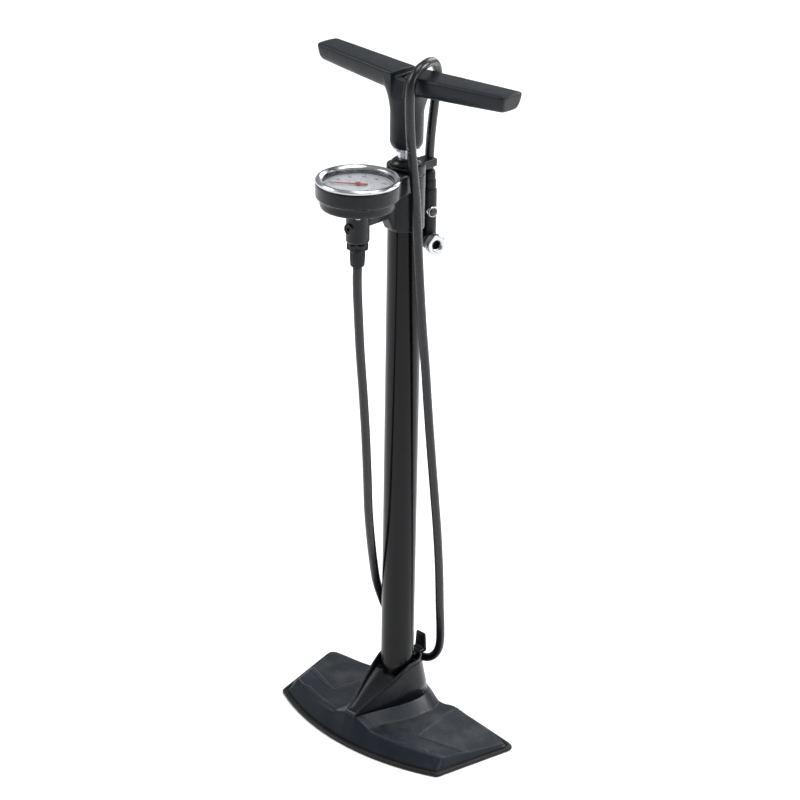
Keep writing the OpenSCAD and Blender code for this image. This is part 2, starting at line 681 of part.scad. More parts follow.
module hose_ferrule() {
    color("#141518") gauge_axis() difference() {
        translate([0, 0, ferrule_z]) cylinder(h = ferrule_h, r = ferrule_r);
        translate([0, 0, ferrule_z + 3]) cylinder(h = ferrule_h, r = 3 + fit);
        translate([0, 0, ferrule_z - over]) cylinder(h = 3 + 2 * over, r = 1.8);
        for (k = [0:17]) rotate([0, 0, 20 * k]) translate([ferrule_r + 0.1, 0, ferrule_z + 3])
            cylinder(h = ferrule_h - 5, r = 0.6);
    }
}

// The hose hangs from the ferrule, passes left of the barrel, under the hook, up the right side,
// over the handle and down into the head
head_cap_top_z = dock_z - 3.7;
hose_route = [[0, -64, 521.8], [0, -64, 503], [0, -62, 470], [-1, -58, 430], [-2.5, -52, 385],
    [-4, -46.5, 339], [-6, -41.5, 293], [-8.5, -36.5, 249], [-12, -29, 212], [-16.5, -20.5, 183],
    [-21, -11, 155], [-24, 1, 128], [-25.4, 13, 104], [-25.6, 21, 88], [-24.6, 27.5, 74],
    [-20.8, 32, 63.6], [-14.4, 35, 57.2], [-7.4, 36.4, 54.4], [0, 37, 53.6], [7.2, 37.6, 54.8],
    [13.2, 38.4, 58.2], [18, 39.1, 63.6], [22, 39.3, 71.6], [25.2, 37.8, 83], [27.6, 35, 101],
    [29.5, 31, 130], [31.5, 26.5, 172], [33.5, 20, 220], [34, 13.5, 268], [33.5, 8, 315],
    [32.5, 3.5, 360], [31.5, -0.5, 405], [30, -5, 452], [28.5, -8.5, 500], [27, -11, 545],
    [26, -13.5, 585], [25.3, -17.5, 617], [24.6, -20.8, 647], [24.2, -22, 670], [24.4, -22, 686],
    [24.6, -19.4, 697.6], [24, -11.6, 705.8], [22, -1, 708.6], [18.8, 8.6, 708.6],
    [15.4, 18.8, 705.6], [12.6, 26.4, 697.6], [10.4, 29.4, 686], [7.4, 30.4, 668], [4.6, 31, 650],
    [2, 31.6, 632], [0.4, 32, 614], [0, 32, head_cap_top_z]];
module hose() {
    color("#101215") tube_along(hose_route, hose_d / 2, 12);
}

// Head, hanging in the dock
nozzle_turn = -16.5;             // heading of the nozzle, from +X
head_cap_h = 10;
sleeve_h = 9.5;
sleeve_z = head_cap_top_z - head_cap_h - sleeve_h;
nozzle_z = head_cap_top_z - 71.8;
head_bore_r = 2;
button_z = nozzle_z + 31;
button_r = 4.1;
button_ring_r = 5.5;
head_cap_r = head_r - 1.7;
sleeve_r = head_r - 0.9;
cross_r = head_r + 0.5;          // barrel of the nozzle, across the foot of the head
cross_end = head_r + 0.2;
nozzle_ring_h = 2.3;
stub_r = 6;
collar_from = cross_end + nozzle_ring_h + part_gap;
stub_end = collar_from + 2;
collar_end = collar_from + 7.8;
grommet_r = 4.6;
grommet_hole_r = 2.6;
grommet_from = 4.5;
grommet_end = stub_end - 2.3;
module head_axis() { translate([0, dock_y, 0]) children(); }
module nozzle_axis(z) { head_axis() translate([0, 0, z]) rotate([0, 90, nozzle_turn]) children(); }

module head_cap() {
    color("#15171b") head_axis() difference() {
        rotate_extrude() polygon([[0, sleeve_z + sleeve_h], [head_cap_r, sleeve_z + sleeve_h],
            [head_cap_r, head_cap_top_z - 2.4], [head_cap_r - 0.5, head_cap_top_z - 1],
            [head_cap_r - 1.4, head_cap_top_z], [0, head_cap_top_z]]);
        translate([0, 0, sleeve_z]) cylinder(h = 40, r = head_bore_r);
    }
}

module head_sleeve() {
    color("#1b1e22") head_axis() difference() {
        rotate_extrude() polygon([[0, sleeve_z], [sleeve_r, sleeve_z], [sleeve_r, sleeve_z + 1],
            [sleeve_r - 0.5, sleeve_z + 1.4], [sleeve_r, sleeve_z + 1.8],
            [sleeve_r, sleeve_z + sleeve_h - 1],
            [sleeve_r - 0.7, sleeve_z + sleeve_h], [0, sleeve_z + sleeve_h]]);
        translate([0, 0, sleeve_z - over]) cylinder(h = sleeve_h + 2 * over, r = head_bore_r);
    }
}

module head_body() {
    color("#1b1e22") difference() {
        union() {
            head_axis() translate([0, 0, nozzle_z]) cylinder(h = sleeve_z - nozzle_z, r = head_r);
            nozzle_axis(nozzle_z) translate([0, 0, -9]) cylinder(h = 9 + cross_end, r = cross_r);
            nozzle_axis(nozzle_z) translate([0, 0, -10.5]) cylinder(h = 1.5, r1 = cross_r - 1.5, r2 = cross_r);
            nozzle_axis(nozzle_z) cylinder(h = stub_end, r = stub_r);
        }
        head_axis() translate([0, 0, nozzle_z]) cylinder(h = 100, r = head_bore_r);
        nozzle_axis(nozzle_z) cylinder(h = collar_end, r = grommet_r + fit);
        nozzle_axis(button_z) translate([0, 0, 1]) cylinder(h = 10, r = button_r + run);
        nozzle_axis(button_z) translate([0, 0, 4]) cylinder(h = 10, r = button_ring_r + fit);
    }
}

module button_ring() {
    color("#c6c9cc") nozzle_axis(button_z) translate([0, 0, 4]) difference() {
        union() {
            cylinder(h = head_r - 2.9, r = button_ring_r);
            translate([0, 0, head_r - 2.9]) cylinder(h = 0.6, r1 = button_ring_r, r2 = button_ring_r - 0.6);
        }
        translate([0, 0, -over]) cylinder(h = 10, r = button_r + run);
    }
}

module button_spring() {
    color("silver") nozzle_axis(button_z) tube_along(coil_points(2.3, 1.3, 5, 3, 12), 0.25, 6);
}

button_travel = 1.5;
module release_button() {
    color("#0c0d0f") nozzle_axis(button_z) difference() {
        rotate_extrude() polygon([[0, 3.2], [button_r, 3.2], [button_r, head_r + 1.1],
            for (a = [10:10:80]) [button_r * cos(a), head_r + 1.1 + 1.9 * sin(a)], [0, head_r + 3]]);
        translate([0, 0, 3.2 - over]) cylinder(h = 2 + over + button_travel + part_gap, r = 3);
    }
}

module nozzle_ring() {
    color("#d8dadd") nozzle_axis(nozzle_z) translate([0, 0, cross_end]) difference() {
        cylinder(h = nozzle_ring_h, r = 7.4);
        translate([0, 0, -over]) cylinder(h = 5, r = stub_r + fit);
    }
}

module nozzle_collar() {
    color("#dcdee0") nozzle_axis(nozzle_z) difference() {
        union() {
            translate([0, 0, collar_from]) cylinder(h = 1, r1 = collar_r - 1, r2 = collar_r);
            translate([0, 0, collar_from + 1]) cylinder(h = collar_end - collar_from - 2, r = collar_r);
            translate([0, 0, collar_end - 1]) cylinder(h = 1, r1 = collar_r, r2 = collar_r - 1);
        }
        translate([0, 0, collar_from - over])
            cylinder(h = stub_end + part_gap - collar_from + over, r = stub_r + run);
        cylinder(h = 30, r = nozzle_hole_r);
        translate([0, 0, collar_end - 1]) cylinder(h = 2, r1 = nozzle_hole_r, r2 = nozzle_hole_r + 2);
        for (k = [0:23]) rotate([0, 0, 15 * k]) translate([collar_r + 0.25, 0, collar_from + 1.5])
            cylinder(h = collar_end - collar_from - 3, r = 0.7);
    }
}

module valve_grommet() {
    color("#26282b") nozzle_axis(nozzle_z) difference() {
        translate([0, 0, grommet_from]) cylinder(h = grommet_end - grommet_from, r = grommet_r);
        cylinder(h = stub_end, r = grommet_hole_r);
    }
}

module depressor_pin() {
    color("#c9a24a") nozzle_axis(nozzle_z) {
        translate([0, 0, 0]) cylinder(h = 9, r = 0.8);
        translate([0, 0, 0.2]) cylinder(h = 1.5, r = grommet_r);
    }
}

// Rod and handle
rod_top_z = handle_z - 25;
module rod() {
    color("#b8bcc0") difference() {
        translate([0, 0, rod_bottom_z]) cylinder(h = rod_top_z - rod_bottom_z, r = rod_r);
        translate([0, 0, rod_bottom_z - over])
            cylinder(h = rod_top_z - rod_bottom_z + 2 * over, r = rod_r - rod_wall);
    }
}

swivel_r = 3;
rod_plug_h = 12;
handle_bolt_r = 3;
module rod_plugs() {
    color("#9a9ea3") for (z = [rod_bottom_z, rod_top_z - rod_plug_h]) translate([0, 0, z]) difference() {
        cylinder(h = rod_plug_h, r = rod_r - rod_wall - fit);
        translate([0, 0, -over]) cylinder(h = rod_plug_h + 2 * over, r = swivel_r + run);
    }
}

module stem_ring() {
    color("#c6c9cc") translate([0, 0, stem_z - 2.5]) difference() {
        cylinder(h = 2.5, r = stem_r - 3);
        translate([0, 0, -over]) cylinder(h = 5, r = rod_r + fit);
    }
}

// Wing section: flat top with crisp edges, sides that turn under into a rounded keel
section_steps = 14;
edge_bevel = 1;
function keel(t, p) = sign(t) * pow(abs(t), p);
function wing_section(w, h) = concat([[-w / 2 + edge_bevel, 0]],
    [for (k = [0:section_steps]) let (a = 180 * k / section_steps)
        [-w / 2 * keel(cos(a), 0.38), -edge_bevel - (h - edge_bevel) * pow(sin(a), 0.72)]],
    [[w / 2 - edge_bevel, 0]]);
centre_y = 2;
stations = [0, 0.12, 0.25, 0.4, 0.55, 0.7, 0.85, 0.96, 1];
function wing_ring(s, side) =
    let (w = (handle_w + (handle_tip_w - handle_w) * s) * (s == 1 ? 0.9 : 1),
         h = (handle_h - 2.5 * s) * (s == 1 ? 0.86 : 1),
         y = centre_y + handle_sweep * s, z = handle_z + tip_rise * s - (s == 1 ? 0.8 : 0),
         slant = s < 0.9 ? 0 : 0.4)
    [for (p = wing_section(w, h)) [side * (handle_half_len * s + slant * p.y), y + p.x, z + p.y]];
module wings() {
    rings = concat([for (k = [len(stations) - 1:-1:1]) wing_ring(stations[k], -1)],
        [for (s = stations) wing_ring(s, 1)]);
    n = len(rings[0]);
    points = [for (r = rings) each r];
    walls = [for (i = [0:len(rings) - 2], k = [0:n - 1])
        let (a = i * n + k, b = i * n + (k + 1) % n) [a, a + n, b + n, b]];
    last = n * (len(rings) - 1);
    ends = [[for (k = [0:n - 1]) k], [for (k = [n - 1:-1:0]) last + k]];
    polyhedron(points, concat(walls, ends), 8);
}

notch_half_w = 9;
notch_depth = 8;
module handle() {
    color("#24282d") difference() {
        union() {
            wings();
            rotate_extrude() polygon([[0, stem_z], [stem_r - 2, stem_z], [stem_r - 1.4, stem_z + 1],
                [stem_r, stem_z + 5], [stem_r, stem_z + 42], [0, stem_z + 42]]);
            hull() {
                translate([0, 0, stem_z + 37]) cylinder(h = 2, r = stem_r - 0.6, $fn = 32);
                translate([-27, centre_y - 10, handle_z - handle_h + 3]) cube([54, 20, 2]);
                translate([-19, centre_y - handle_w / 2 + 2.5, handle_z - 9]) cube([38, handle_w - 5, 2]);
            }
        }
        hull() {
            translate([-notch_half_w, -50, handle_z]) cube([2 * notch_half_w, 100, 5]);
            translate([-notch_half_w + 2, -50, handle_z - notch_depth]) cube([2 * notch_half_w - 4, 100, 1]);
        }
        translate([0, 0, stem_z - over]) cylinder(h = rod_top_z - stem_z + 2 * over, r = rod_r + fit);
        cylinder(h = handle_z + 10, r = handle_bolt_r + 2 * fit);
        translate([0, 0, handle_z - notch_depth - 5]) cylinder(h = 20, r = 5.5);
    }
}

module handle_bolt() {
    color("silver") difference() {
        union() {
            translate([0, 0, handle_z - notch_depth - 5]) cylinder(h = 4.5, r = 5);
            translate([0, 0, rod_top_z - 9])
                cylinder(h = handle_z - notch_depth - rod_top_z + 4, r = handle_bolt_r);
        }
        translate([0, 0, handle_z - notch_depth - 3]) cylinder(h = 6, r = 2.6, $fn = 6);
    }
}

piston_groove_z = piston_z + 6;
piston_groove_h = 3;
module piston() {
    color("#d6d2c4") rotate_extrude() polygon([
        [swivel_r + fit, piston_z + 4], [5.6, piston_z + 4],
        [5.6, piston_z], [cylinder_bore_r - 0.3, piston_z],
        [cylinder_bore_r - 0.3, piston_groove_z], [cylinder_bore_r - 2, piston_groove_z],
        [cylinder_bore_r - 2, piston_groove_z + piston_groove_h],
        [cylinder_bore_r - 0.3, piston_groove_z + piston_groove_h],
        [cylinder_bore_r - 0.3, piston_z + piston_h], [swivel_r + fit, piston_z + piston_h]]);
}

module piston_ring() {
    color("#1a1a1a") translate([0, 0, piston_groove_z + fit]) difference() {
        cylinder(h = piston_groove_h - 2 * fit, r = cylinder_bore_r - run);
        translate([0, 0, -over]) cylinder(h = piston_groove_h + 2 * over, r = cylinder_bore_r - 2 + fit);
    }
}

module piston_bolt() {
    color("silver") difference() {
        union() {
            translate([0, 0, piston_z + 0.5]) cylinder(h = 3.5, r = 5.4);
            translate([0, 0, piston_z + 4]) cylinder(h = piston_h + rod_plug_h - 5, r = swivel_r);
        }
        translate([0, 0, piston_z]) cylinder(h = 2.6, r = 2.6, $fn = 6);
    }
}

sole();
sole_screws();
base_plate();
shroud();
foot_bolt();
foot_plug();
foot_rings();
check_poppet();
check_spring();
barrel();
inner_cylinder();
cylinder_head();
rod_guide();
rod_seal();
gauge_housing();
housing_screws();
top_cap();
bezel();
lens();
dial();
bourdon_tube();
movement_frame();
sector_gear();
needle_pinion();
needle();
outlet_body();
outlet_plug();
hose_nut();
hose_barb();
hose_ferrule();
hose();
head_cap();
head_sleeve();
head_body();
button_ring();
button_spring();
release_button();
nozzle_ring();
nozzle_collar();
valve_grommet();
depressor_pin();
rod();
rod_plugs();
stem_ring();
handle();
handle_bolt();
piston();
piston_ring();
piston_bolt();
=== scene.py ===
# %% [markdown]
# # A floor bike pump
# The pump stands on a winged plastic base, with a long painted barrel, a gauge on an arm at the
# top, a T handle, and a rubber hose that is put away over the handle. The moving frame comes from
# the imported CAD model. This script gives every piece its finish and remodels the ones that show,
# with the soft corners, ribs, knurls and printed scale that the real pieces have.

# %% Load the frame
import json
import math

import bmesh
import bpy
import numpy as np
from mathutils import Matrix, Vector


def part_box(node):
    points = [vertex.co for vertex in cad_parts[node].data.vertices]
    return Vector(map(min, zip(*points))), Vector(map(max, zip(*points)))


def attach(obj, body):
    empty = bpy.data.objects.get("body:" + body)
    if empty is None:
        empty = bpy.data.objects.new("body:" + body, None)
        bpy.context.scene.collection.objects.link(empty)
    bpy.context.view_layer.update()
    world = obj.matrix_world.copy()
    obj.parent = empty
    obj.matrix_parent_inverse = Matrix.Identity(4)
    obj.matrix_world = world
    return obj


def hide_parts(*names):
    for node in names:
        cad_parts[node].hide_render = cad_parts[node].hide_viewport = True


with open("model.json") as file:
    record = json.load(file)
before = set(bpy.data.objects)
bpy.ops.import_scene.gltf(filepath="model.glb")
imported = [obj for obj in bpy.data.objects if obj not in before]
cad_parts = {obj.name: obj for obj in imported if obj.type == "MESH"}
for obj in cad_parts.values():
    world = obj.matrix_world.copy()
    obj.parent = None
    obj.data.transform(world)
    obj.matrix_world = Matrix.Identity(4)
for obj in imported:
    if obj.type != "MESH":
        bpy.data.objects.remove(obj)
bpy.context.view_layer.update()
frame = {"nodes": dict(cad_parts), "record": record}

MM = 0.001
scene = bpy.context.scene

# %% [markdown]
# ## Camera
# A long lens stands about two metres from the pump, a little above the handle, and looks down at
# the barrel. Its place is given round the barrel's own axis, which is the frame's Z axis.

# %% Camera
CAMERA_AZIMUTH = 43.46      # degrees round the barrel from straight in front
CAMERA_DISTANCE = 2072.6    # mm from the barrel axis, along the floor
CAMERA_HEIGHT = 1323.9      # mm above the floor
CAMERA_YAW = 0.05           # degrees off the barrel axis
CAMERA_PITCH = 24.89        # degrees below the horizon
CAMERA_ROLL = 1.01          # degrees
CAMERA_LENS = 104.28        # mm, on a 36 mm sensor


def place_camera():
    """Look from the given azimuth: the heading is turned down by the pitch, then rolled."""
    heading = math.radians(CAMERA_AZIMUTH + CAMERA_YAW)
    pitch, roll = math.radians(CAMERA_PITCH), math.radians(CAMERA_ROLL)
    forward = Vector((-math.sin(heading) * math.cos(pitch),
                      math.cos(heading) * math.cos(pitch), -math.sin(pitch)))
    level = forward.cross(Vector((0, 0, 1))).normalized()
    rise = level.cross(forward)
    right = math.cos(roll) * level + math.sin(roll) * rise
    up = math.cos(roll) * rise - math.sin(roll) * level
    data = bpy.data.cameras.new("camera")
    data.lens, data.sensor_width = CAMERA_LENS, 36
    data.clip_start, data.clip_end = 0.05, 20
    camera = bpy.data.objects.new("camera", data)
    azimuth = math.radians(CAMERA_AZIMUTH)
    spot = Vector((math.sin(azimuth) * CAMERA_DISTANCE, -math.cos(azimuth) * CAMERA_DISTANCE,
                   CAMERA_HEIGHT)) * MM
    turn = Matrix((right, up, -forward)).transposed().to_4x4()
    camera.matrix_world = Matrix.Translation(spot) @ turn
    scene.collection.objects.link(camera)
    scene.camera = camera
    return camera


camera = place_camera()
print("camera at", [round(v, 3) for v in camera.location])

# %% [markdown]
# ## Surfaces from arrays
# Most pieces of a pump are turned or moulded, so a few helpers make them: a grid of points becomes
# a mesh, a profile is turned round an axis, rings are joined into a loft. The CAD nodes already
# have these shapes with sharp corners. Remodelling them costs little and gives each corner the
# small radius that catches a highlight.

# %% Mesh helpers
def build_mesh(name, points, faces, smooth=True):
    """A mesh object at the origin from points in metres and faces as index lists."""
    mesh = bpy.data.meshes.new(name)
    mesh.from_pydata(points.tolist(), [], faces)
    shell = bmesh.new()
    shell.from_mesh(mesh)
    if shell.calc_volume(signed=True) < 0:
        bmesh.ops.reverse_faces(shell, faces=shell.faces)
    shell.to_mesh(mesh)
    shell.free()
    mesh.polygons.foreach_set("use_smooth", [smooth] * len(mesh.polygons))
    piece = bpy.data.objects.new(name, mesh)
    scene.collection.objects.link(piece)
    return piece


def grid_faces(rows, columns, closed_rows=False, closed_columns=False):
    """Quads between neighbouring grid points, wrapped round where a direction is closed."""
    i, j = np.meshgrid(np.arange(rows if closed_rows else rows - 1),
                       np.arange(columns if closed_columns else columns - 1), indexing="ij")
    a, b = i.ravel(), j.ravel()
    a2, b2 = (a + 1) % rows, (b + 1) % columns
    quads = np.stack([a * columns + b, a2 * columns + b, a2 * columns + b2, a * columns + b2], axis=1)
    return quads.tolist()


def loft(name, rings, closed=False):
    """Closed rings of equal count, (rings, points, 3) in mm, joined in order and capped at the ends."""
    rings = np.asarray(rings, float)
    count, around = rings.shape[:2]
    faces = grid_faces(count, around, closed_rows=closed, closed_columns=True)
    if not closed:
        faces.append(list(range(around)))
        faces.append(list(range((count - 1) * around, count * around))[::-1])
    return build_mesh(name, rings.reshape(-1, 3) * MM, faces)


def node_box(node):
    """A CAD node's lowest and highest corner, in mm."""
    low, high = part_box(node)
    return np.array(low) / MM, np.array(high) / MM


print("helpers ready")

# %% Turned pieces
CORNER_STEPS = 4            # spans in a softened corner
SIDE_SHARE = 0.42           # most of a side that one corner may use
CORNER_LEAD = 1.15          # where the straight side stops, in reaches from the corner


def soften(profile, radius):
    """Each corner b becomes the parabola (1-t)^2 a + 2t(1-t) b + t^2 c, with a and c on its sides."""
    points = [np.array(p, float) for p in profile]
    soft = [points[0]]
    for a, b, c in zip(points, points[1:], points[2:]):
        back, ahead = a - b, c - b
        back_length, ahead_length = np.linalg.norm(back), np.linalg.norm(ahead)
        reach = min(radius, SIDE_SHARE * back_length, SIDE_SHARE * ahead_length)
        back, ahead = back / back_length, ahead / ahead_length
        soft.append(b + CORNER_LEAD * reach * back)
        for t in np.linspace(0, 1, CORNER_STEPS + 1):
            soft.append((1 - t) ** 2 * (b + reach * back) + 2 * t * (1 - t) * b
                        + t ** 2 * (b + reach * ahead))
        soft.append(b + CORNER_LEAD * reach * ahead)
    return np.array(soft + [points[-1]])


def soften_loop(profile, radius):
    """The same for a closed outline, whose last point joins its first."""
    points = list(profile)
    return soften([points[-1]] + points + [points[0]], radius)[1:-1]


def upright(x, y):
    """A vertical axis through (x, y): the matrix whose columns are the axes and the origin."""
    return np.array([[1, 0, 0, x], [0, 1, 0, y], [0, 0, 1, 0]], float)


def level_axis(x, y, z, degrees):
    """A level axis from (x, y, z), heading degrees from +X: its own Z axis runs along it."""
    c, s = math.cos(math.radians(degrees)), math.sin(math.radians(degrees))
    return np.array([[s, 0, c, x], [-c, 0, s, y], [0, 1, 0, z]], float)


def revolve(name, profile, axis, sides=96, ring=False, ripple=None):
    """P(i, a) = (r cos a, r sin a, z) about the axis, r = ripple(r_i, z_i, a); a ring's profile is closed."""
    profile = np.asarray(profile, float)
    angle = np.linspace(0, 2 * np.pi, sides, endpoint=False)[None, :]
    radius = np.maximum(profile[:, 0], 0.02)[:, None] * np.ones_like(angle)
    height = profile[:, 1][:, None] * np.ones_like(angle)
    if ripple is not None:
        radius = ripple(radius, height, angle * np.ones_like(radius))
    local = np.stack([radius * np.cos(angle), radius * np.sin(angle), height], axis=-1)
    return loft(name, local @ axis[:, :3].T + axis[:, 3], closed=ring)


print("turning helpers ready")

# %% [markdown]
# ## Moulded pieces
# A moulded part has one skin, with fillets where its forms meet. The forms are made as separate
# closed shells, rebuilt together on a fine voxel grid and relaxed a little, which leaves a fillet
# in every corner. Bores and notches are cut before the last rebuild where their edges should be
# soft, and after it where they should be crisp.

# %% Joining, cutting and rebuilding
def settle(piece):
    """The piece's modifiers are applied to its mesh."""
    graph = bpy.context.evaluated_depsgraph_get()
    mesh = bpy.data.meshes.new_from_object(piece.evaluated_get(graph))
    piece.modifiers.clear()
    old, piece.data = piece.data, mesh
    bpy.data.meshes.remove(old)
    mesh.name = piece.name
    return piece


def join(name, shells):
    """Several shells as one mesh object."""
    whole = bmesh.new()
    for shell in shells:
        whole.from_mesh(shell.data)
        bpy.data.meshes.remove(shell.data)
    mesh = bpy.data.meshes.new(name)
    whole.to_mesh(mesh)
    whole.free()
    piece = bpy.data.objects.new(name, mesh)
    scene.collection.objects.link(piece)
    return piece


def melt(name, shells, voxel, passes):
    """Closed shells rebuilt as one skin of voxel mm, then relaxed so that inner corners fill."""
    piece = join(name, shells)
    rebuild = piece.modifiers.new("one_skin", "REMESH")
    rebuild.mode, rebuild.voxel_size, rebuild.use_smooth_shade = "VOXEL", voxel * MM, True
    relax = piece.modifiers.new("relax", "SMOOTH")
    relax.factor, relax.iterations = 0.5, passes
    return settle(piece)


def cut(piece, *cutters):
    """Each cutter's solid is taken away from the piece."""
    for cutter in cutters:
        boolean = piece.modifiers.new("cut", "BOOLEAN")
        boolean.operation, boolean.solver, boolean.object = "DIFFERENCE", "EXACT", cutter
        settle(piece)
        bpy.data.meshes.remove(cutter.data)
    piece.data.set_sharp_from_angle(angle=math.radians(40))
    return piece


def drum(name, axis, radius, start, end, sides=64):
    """A plain cylinder about the axis, used as a shell or a cutter."""
    return revolve(name, [(radius, start), (radius, end)], axis, sides)


def soft_drum(name, axis, radius, start, end, corner, sides=128):
    """A closed cylinder about the axis with softened edges."""
    return revolve(name, soften([(0, start), (radius, start), (radius, end), (0, end)], corner),
                   axis, sides)


def rounded_block(name, low, high, corner, taper=0.0):
    """A block with round upright corners: a ring of four arcs, lofted in height, soft at both ends."""
    low, high = np.array(low, float), np.array(high, float)
    centre, half = (low + high) / 2, (high - low) / 2
    rings = []
    edge = min(corner, half[2] * 0.9)
    levels = [(edge, 0), (0.3 * edge, 0.3 * edge), (0, edge)]
    sections = [(inset, low[2] + rise) for inset, rise in levels]
    sections += [(inset, high[2] - rise) for inset, rise in reversed(levels)]
    for inset, z in sections:
        lean = taper * (z - low[2]) / (high[2] - low[2])
        size = half[:2] - inset - lean
        r = max(min(corner, size.min() * 0.95), 0.05)
        angle = np.radians(np.arange(0, 360, 7.5) + 3.75)
        quadrant = np.stack([np.sign(np.cos(angle)), np.sign(np.sin(angle))], axis=1)
        ring = quadrant * (size - r) + r * np.stack([np.cos(angle), np.sin(angle)], axis=1)
        rings.append(np.column_stack([ring + centre[:2], np.full(len(ring), z)]))
    return loft(name, rings)


print("moulding helpers ready")

# %% [markdown]
# ## Finishes
# The pump is nearly all black, so the finishes differ by gloss and texture more than by colour:
# satin grained plastic on the base and the handle, glossier plastic on the gauge, deep gloss paint
# on the barrel, semi-gloss rubber on the hose, and bright plating on the bezel and the nozzle.
# Effects that several finishes share are node groups, built once: moulded grain, wear on the
# edges, handling marks, dust that settles on upward faces, and fine turning lines.

# %% Node helpers
def wire(tree, node, **inputs):
    """Inputs, given by name or as i and a number, are joined to sockets or set to values."""
    for name, value in inputs.items():
        key = int(name[1:]) if name[0] == "i" and name[1:].isdigit() else name.replace("_", " ")
        if isinstance(value, bpy.types.NodeSocket):
            tree.links.new(value, node.inputs[key])
        else:
            node.inputs[key].default_value = value


def add_node(tree, kind, settings=None, **inputs):
    """A node with its settings and its inputs."""
    node = tree.nodes.new(kind)
    for name, value in (settings or {}).items():
        setattr(node, name, value)
    wire(tree, node, **inputs)
    return node


def new_group(name, inputs, outputs):
    """An empty shader node group with named float or vector inputs and outputs."""
    tree = bpy.data.node_groups.new(name, "ShaderNodeTree")
    for label, kind, value in inputs:
        socket = tree.interface.new_socket(label, in_out="INPUT", socket_type=kind)
        socket.default_value = value
    for label, kind in outputs:
        tree.interface.new_socket(label, in_out="OUTPUT", socket_type=kind)
    return tree, tree.nodes.new("NodeGroupInput"), tree.nodes.new("NodeGroupOutput")


def maths(tree, operation, a, b=0.0, clamp=False):
    """One Math node's value."""
    node = add_node(tree, "ShaderNodeMath", {"operation": operation, "use_clamp": clamp}, i0=a, i1=b)
    return node.outputs[0]


def ramp(tree, value, start, end, low=0.0, high=1.0):
    """The value mapped from start..end to low..high with soft ends."""
    node = add_node(tree, "ShaderNodeMapRange", {"interpolation_type": "SMOOTHSTEP"}, Value=value,
                    From_Min=start, From_Max=end, To_Min=low, To_Max=high)
    return node.outputs["Result"]


def object_place(tree):
    """The point on the object, in metres."""
    return tree.nodes.new("ShaderNodeTexCoord").outputs["Object"]


def noise(tree, place, scale, detail=2.0, roughness=0.5):
    """Soft noise whose lumps are about 1 / scale of a metre across."""
    node = add_node(tree, "ShaderNodeTexNoise", None, Vector=place, Scale=scale, Detail=detail,
                    Roughness=roughness)
    return node.outputs[0]


FLOAT, VECTOR = "NodeSocketFloat", "NodeSocketVector"
print("node helpers ready")

# %% Moulded grain
def make_grain():
    """Height = fine cells + soft lumps: the spark-eroded texture of a plastic mould."""
    tree, given, result = new_group("moulded_grain", [("Cells per metre", FLOAT, 1400.0),
                                                      ("Lumps per metre", FLOAT, 160.0)],
                                    [("Height", FLOAT), ("Shine", FLOAT)])
    place = object_place(tree)
    cells = add_node(tree, "ShaderNodeTexVoronoi", {"feature": "SMOOTH_F1"}, Vector=place,
                     Scale=given.outputs["Cells per metre"], Smoothness=0.6)
    lumps = noise(tree, place, given.outputs["Lumps per metre"], 3.0)
    fine = maths(tree, "MULTIPLY", cells.outputs["Distance"], 0.8)
    wire(tree, result, Height=maths(tree, "ADD", fine, maths(tree, "MULTIPLY", lumps, 0.35)))
    wire(tree, result, Shine=ramp(tree, lumps, 0.3, 0.7, -1.0, 1.0))
    return tree


# %% Edge wear
def make_wear():
    """Mask = how sharply the surface turns outwards, broken up by noise."""
    tree, given, result = new_group("edge_wear", [("From", FLOAT, 0.52), ("To", FLOAT, 0.6),
                                                  ("Patches per metre", FLOAT, 90.0)],
                                    [("Mask", FLOAT)])
    turn = tree.nodes.new("ShaderNodeNewGeometry").outputs["Pointiness"]
    edge = add_node(tree, "ShaderNodeMapRange", {"interpolation_type": "SMOOTHSTEP"}, Value=turn,
                    From_Min=given.outputs["From"], From_Max=given.outputs["To"])
    patches = noise(tree, object_place(tree), given.outputs["Patches per metre"], 4.0, 0.6)
    broken = ramp(tree, patches, 0.32, 0.62, 0.25, 1.0)
    wire(tree, result, Mask=maths(tree, "MULTIPLY", edge.outputs["Result"], broken))
    return tree


# %% Handling marks
def make_marks():
    """Value = smears from fingers plus hair-fine scratches, from about -1 to 1."""
    tree, given, result = new_group("handling_marks", [("Smears per metre", FLOAT, 28.0),
                                                       ("Scratches per metre", FLOAT, 260.0)],
                                    [("Value", FLOAT), ("Scratches", FLOAT)])
    place = object_place(tree)
    smears = noise(tree, place, given.outputs["Smears per metre"], 5.0, 0.62)
    stretched = add_node(tree, "ShaderNodeMapping", None, Vector=place, Rotation=(0.5, 0.35, 0.9),
                         Scale=(1.0, 14.0, 1.0))
    lines = noise(tree, stretched.outputs["Vector"], given.outputs["Scratches per metre"], 2.0)
    scratches = ramp(tree, lines, 0.66, 0.74)
    wire(tree, result, Scratches=scratches,
         Value=maths(tree, "ADD", ramp(tree, smears, 0.35, 0.68, -1.0, 1.0),
                     maths(tree, "MULTIPLY", scratches, 0.6)))
    return tree


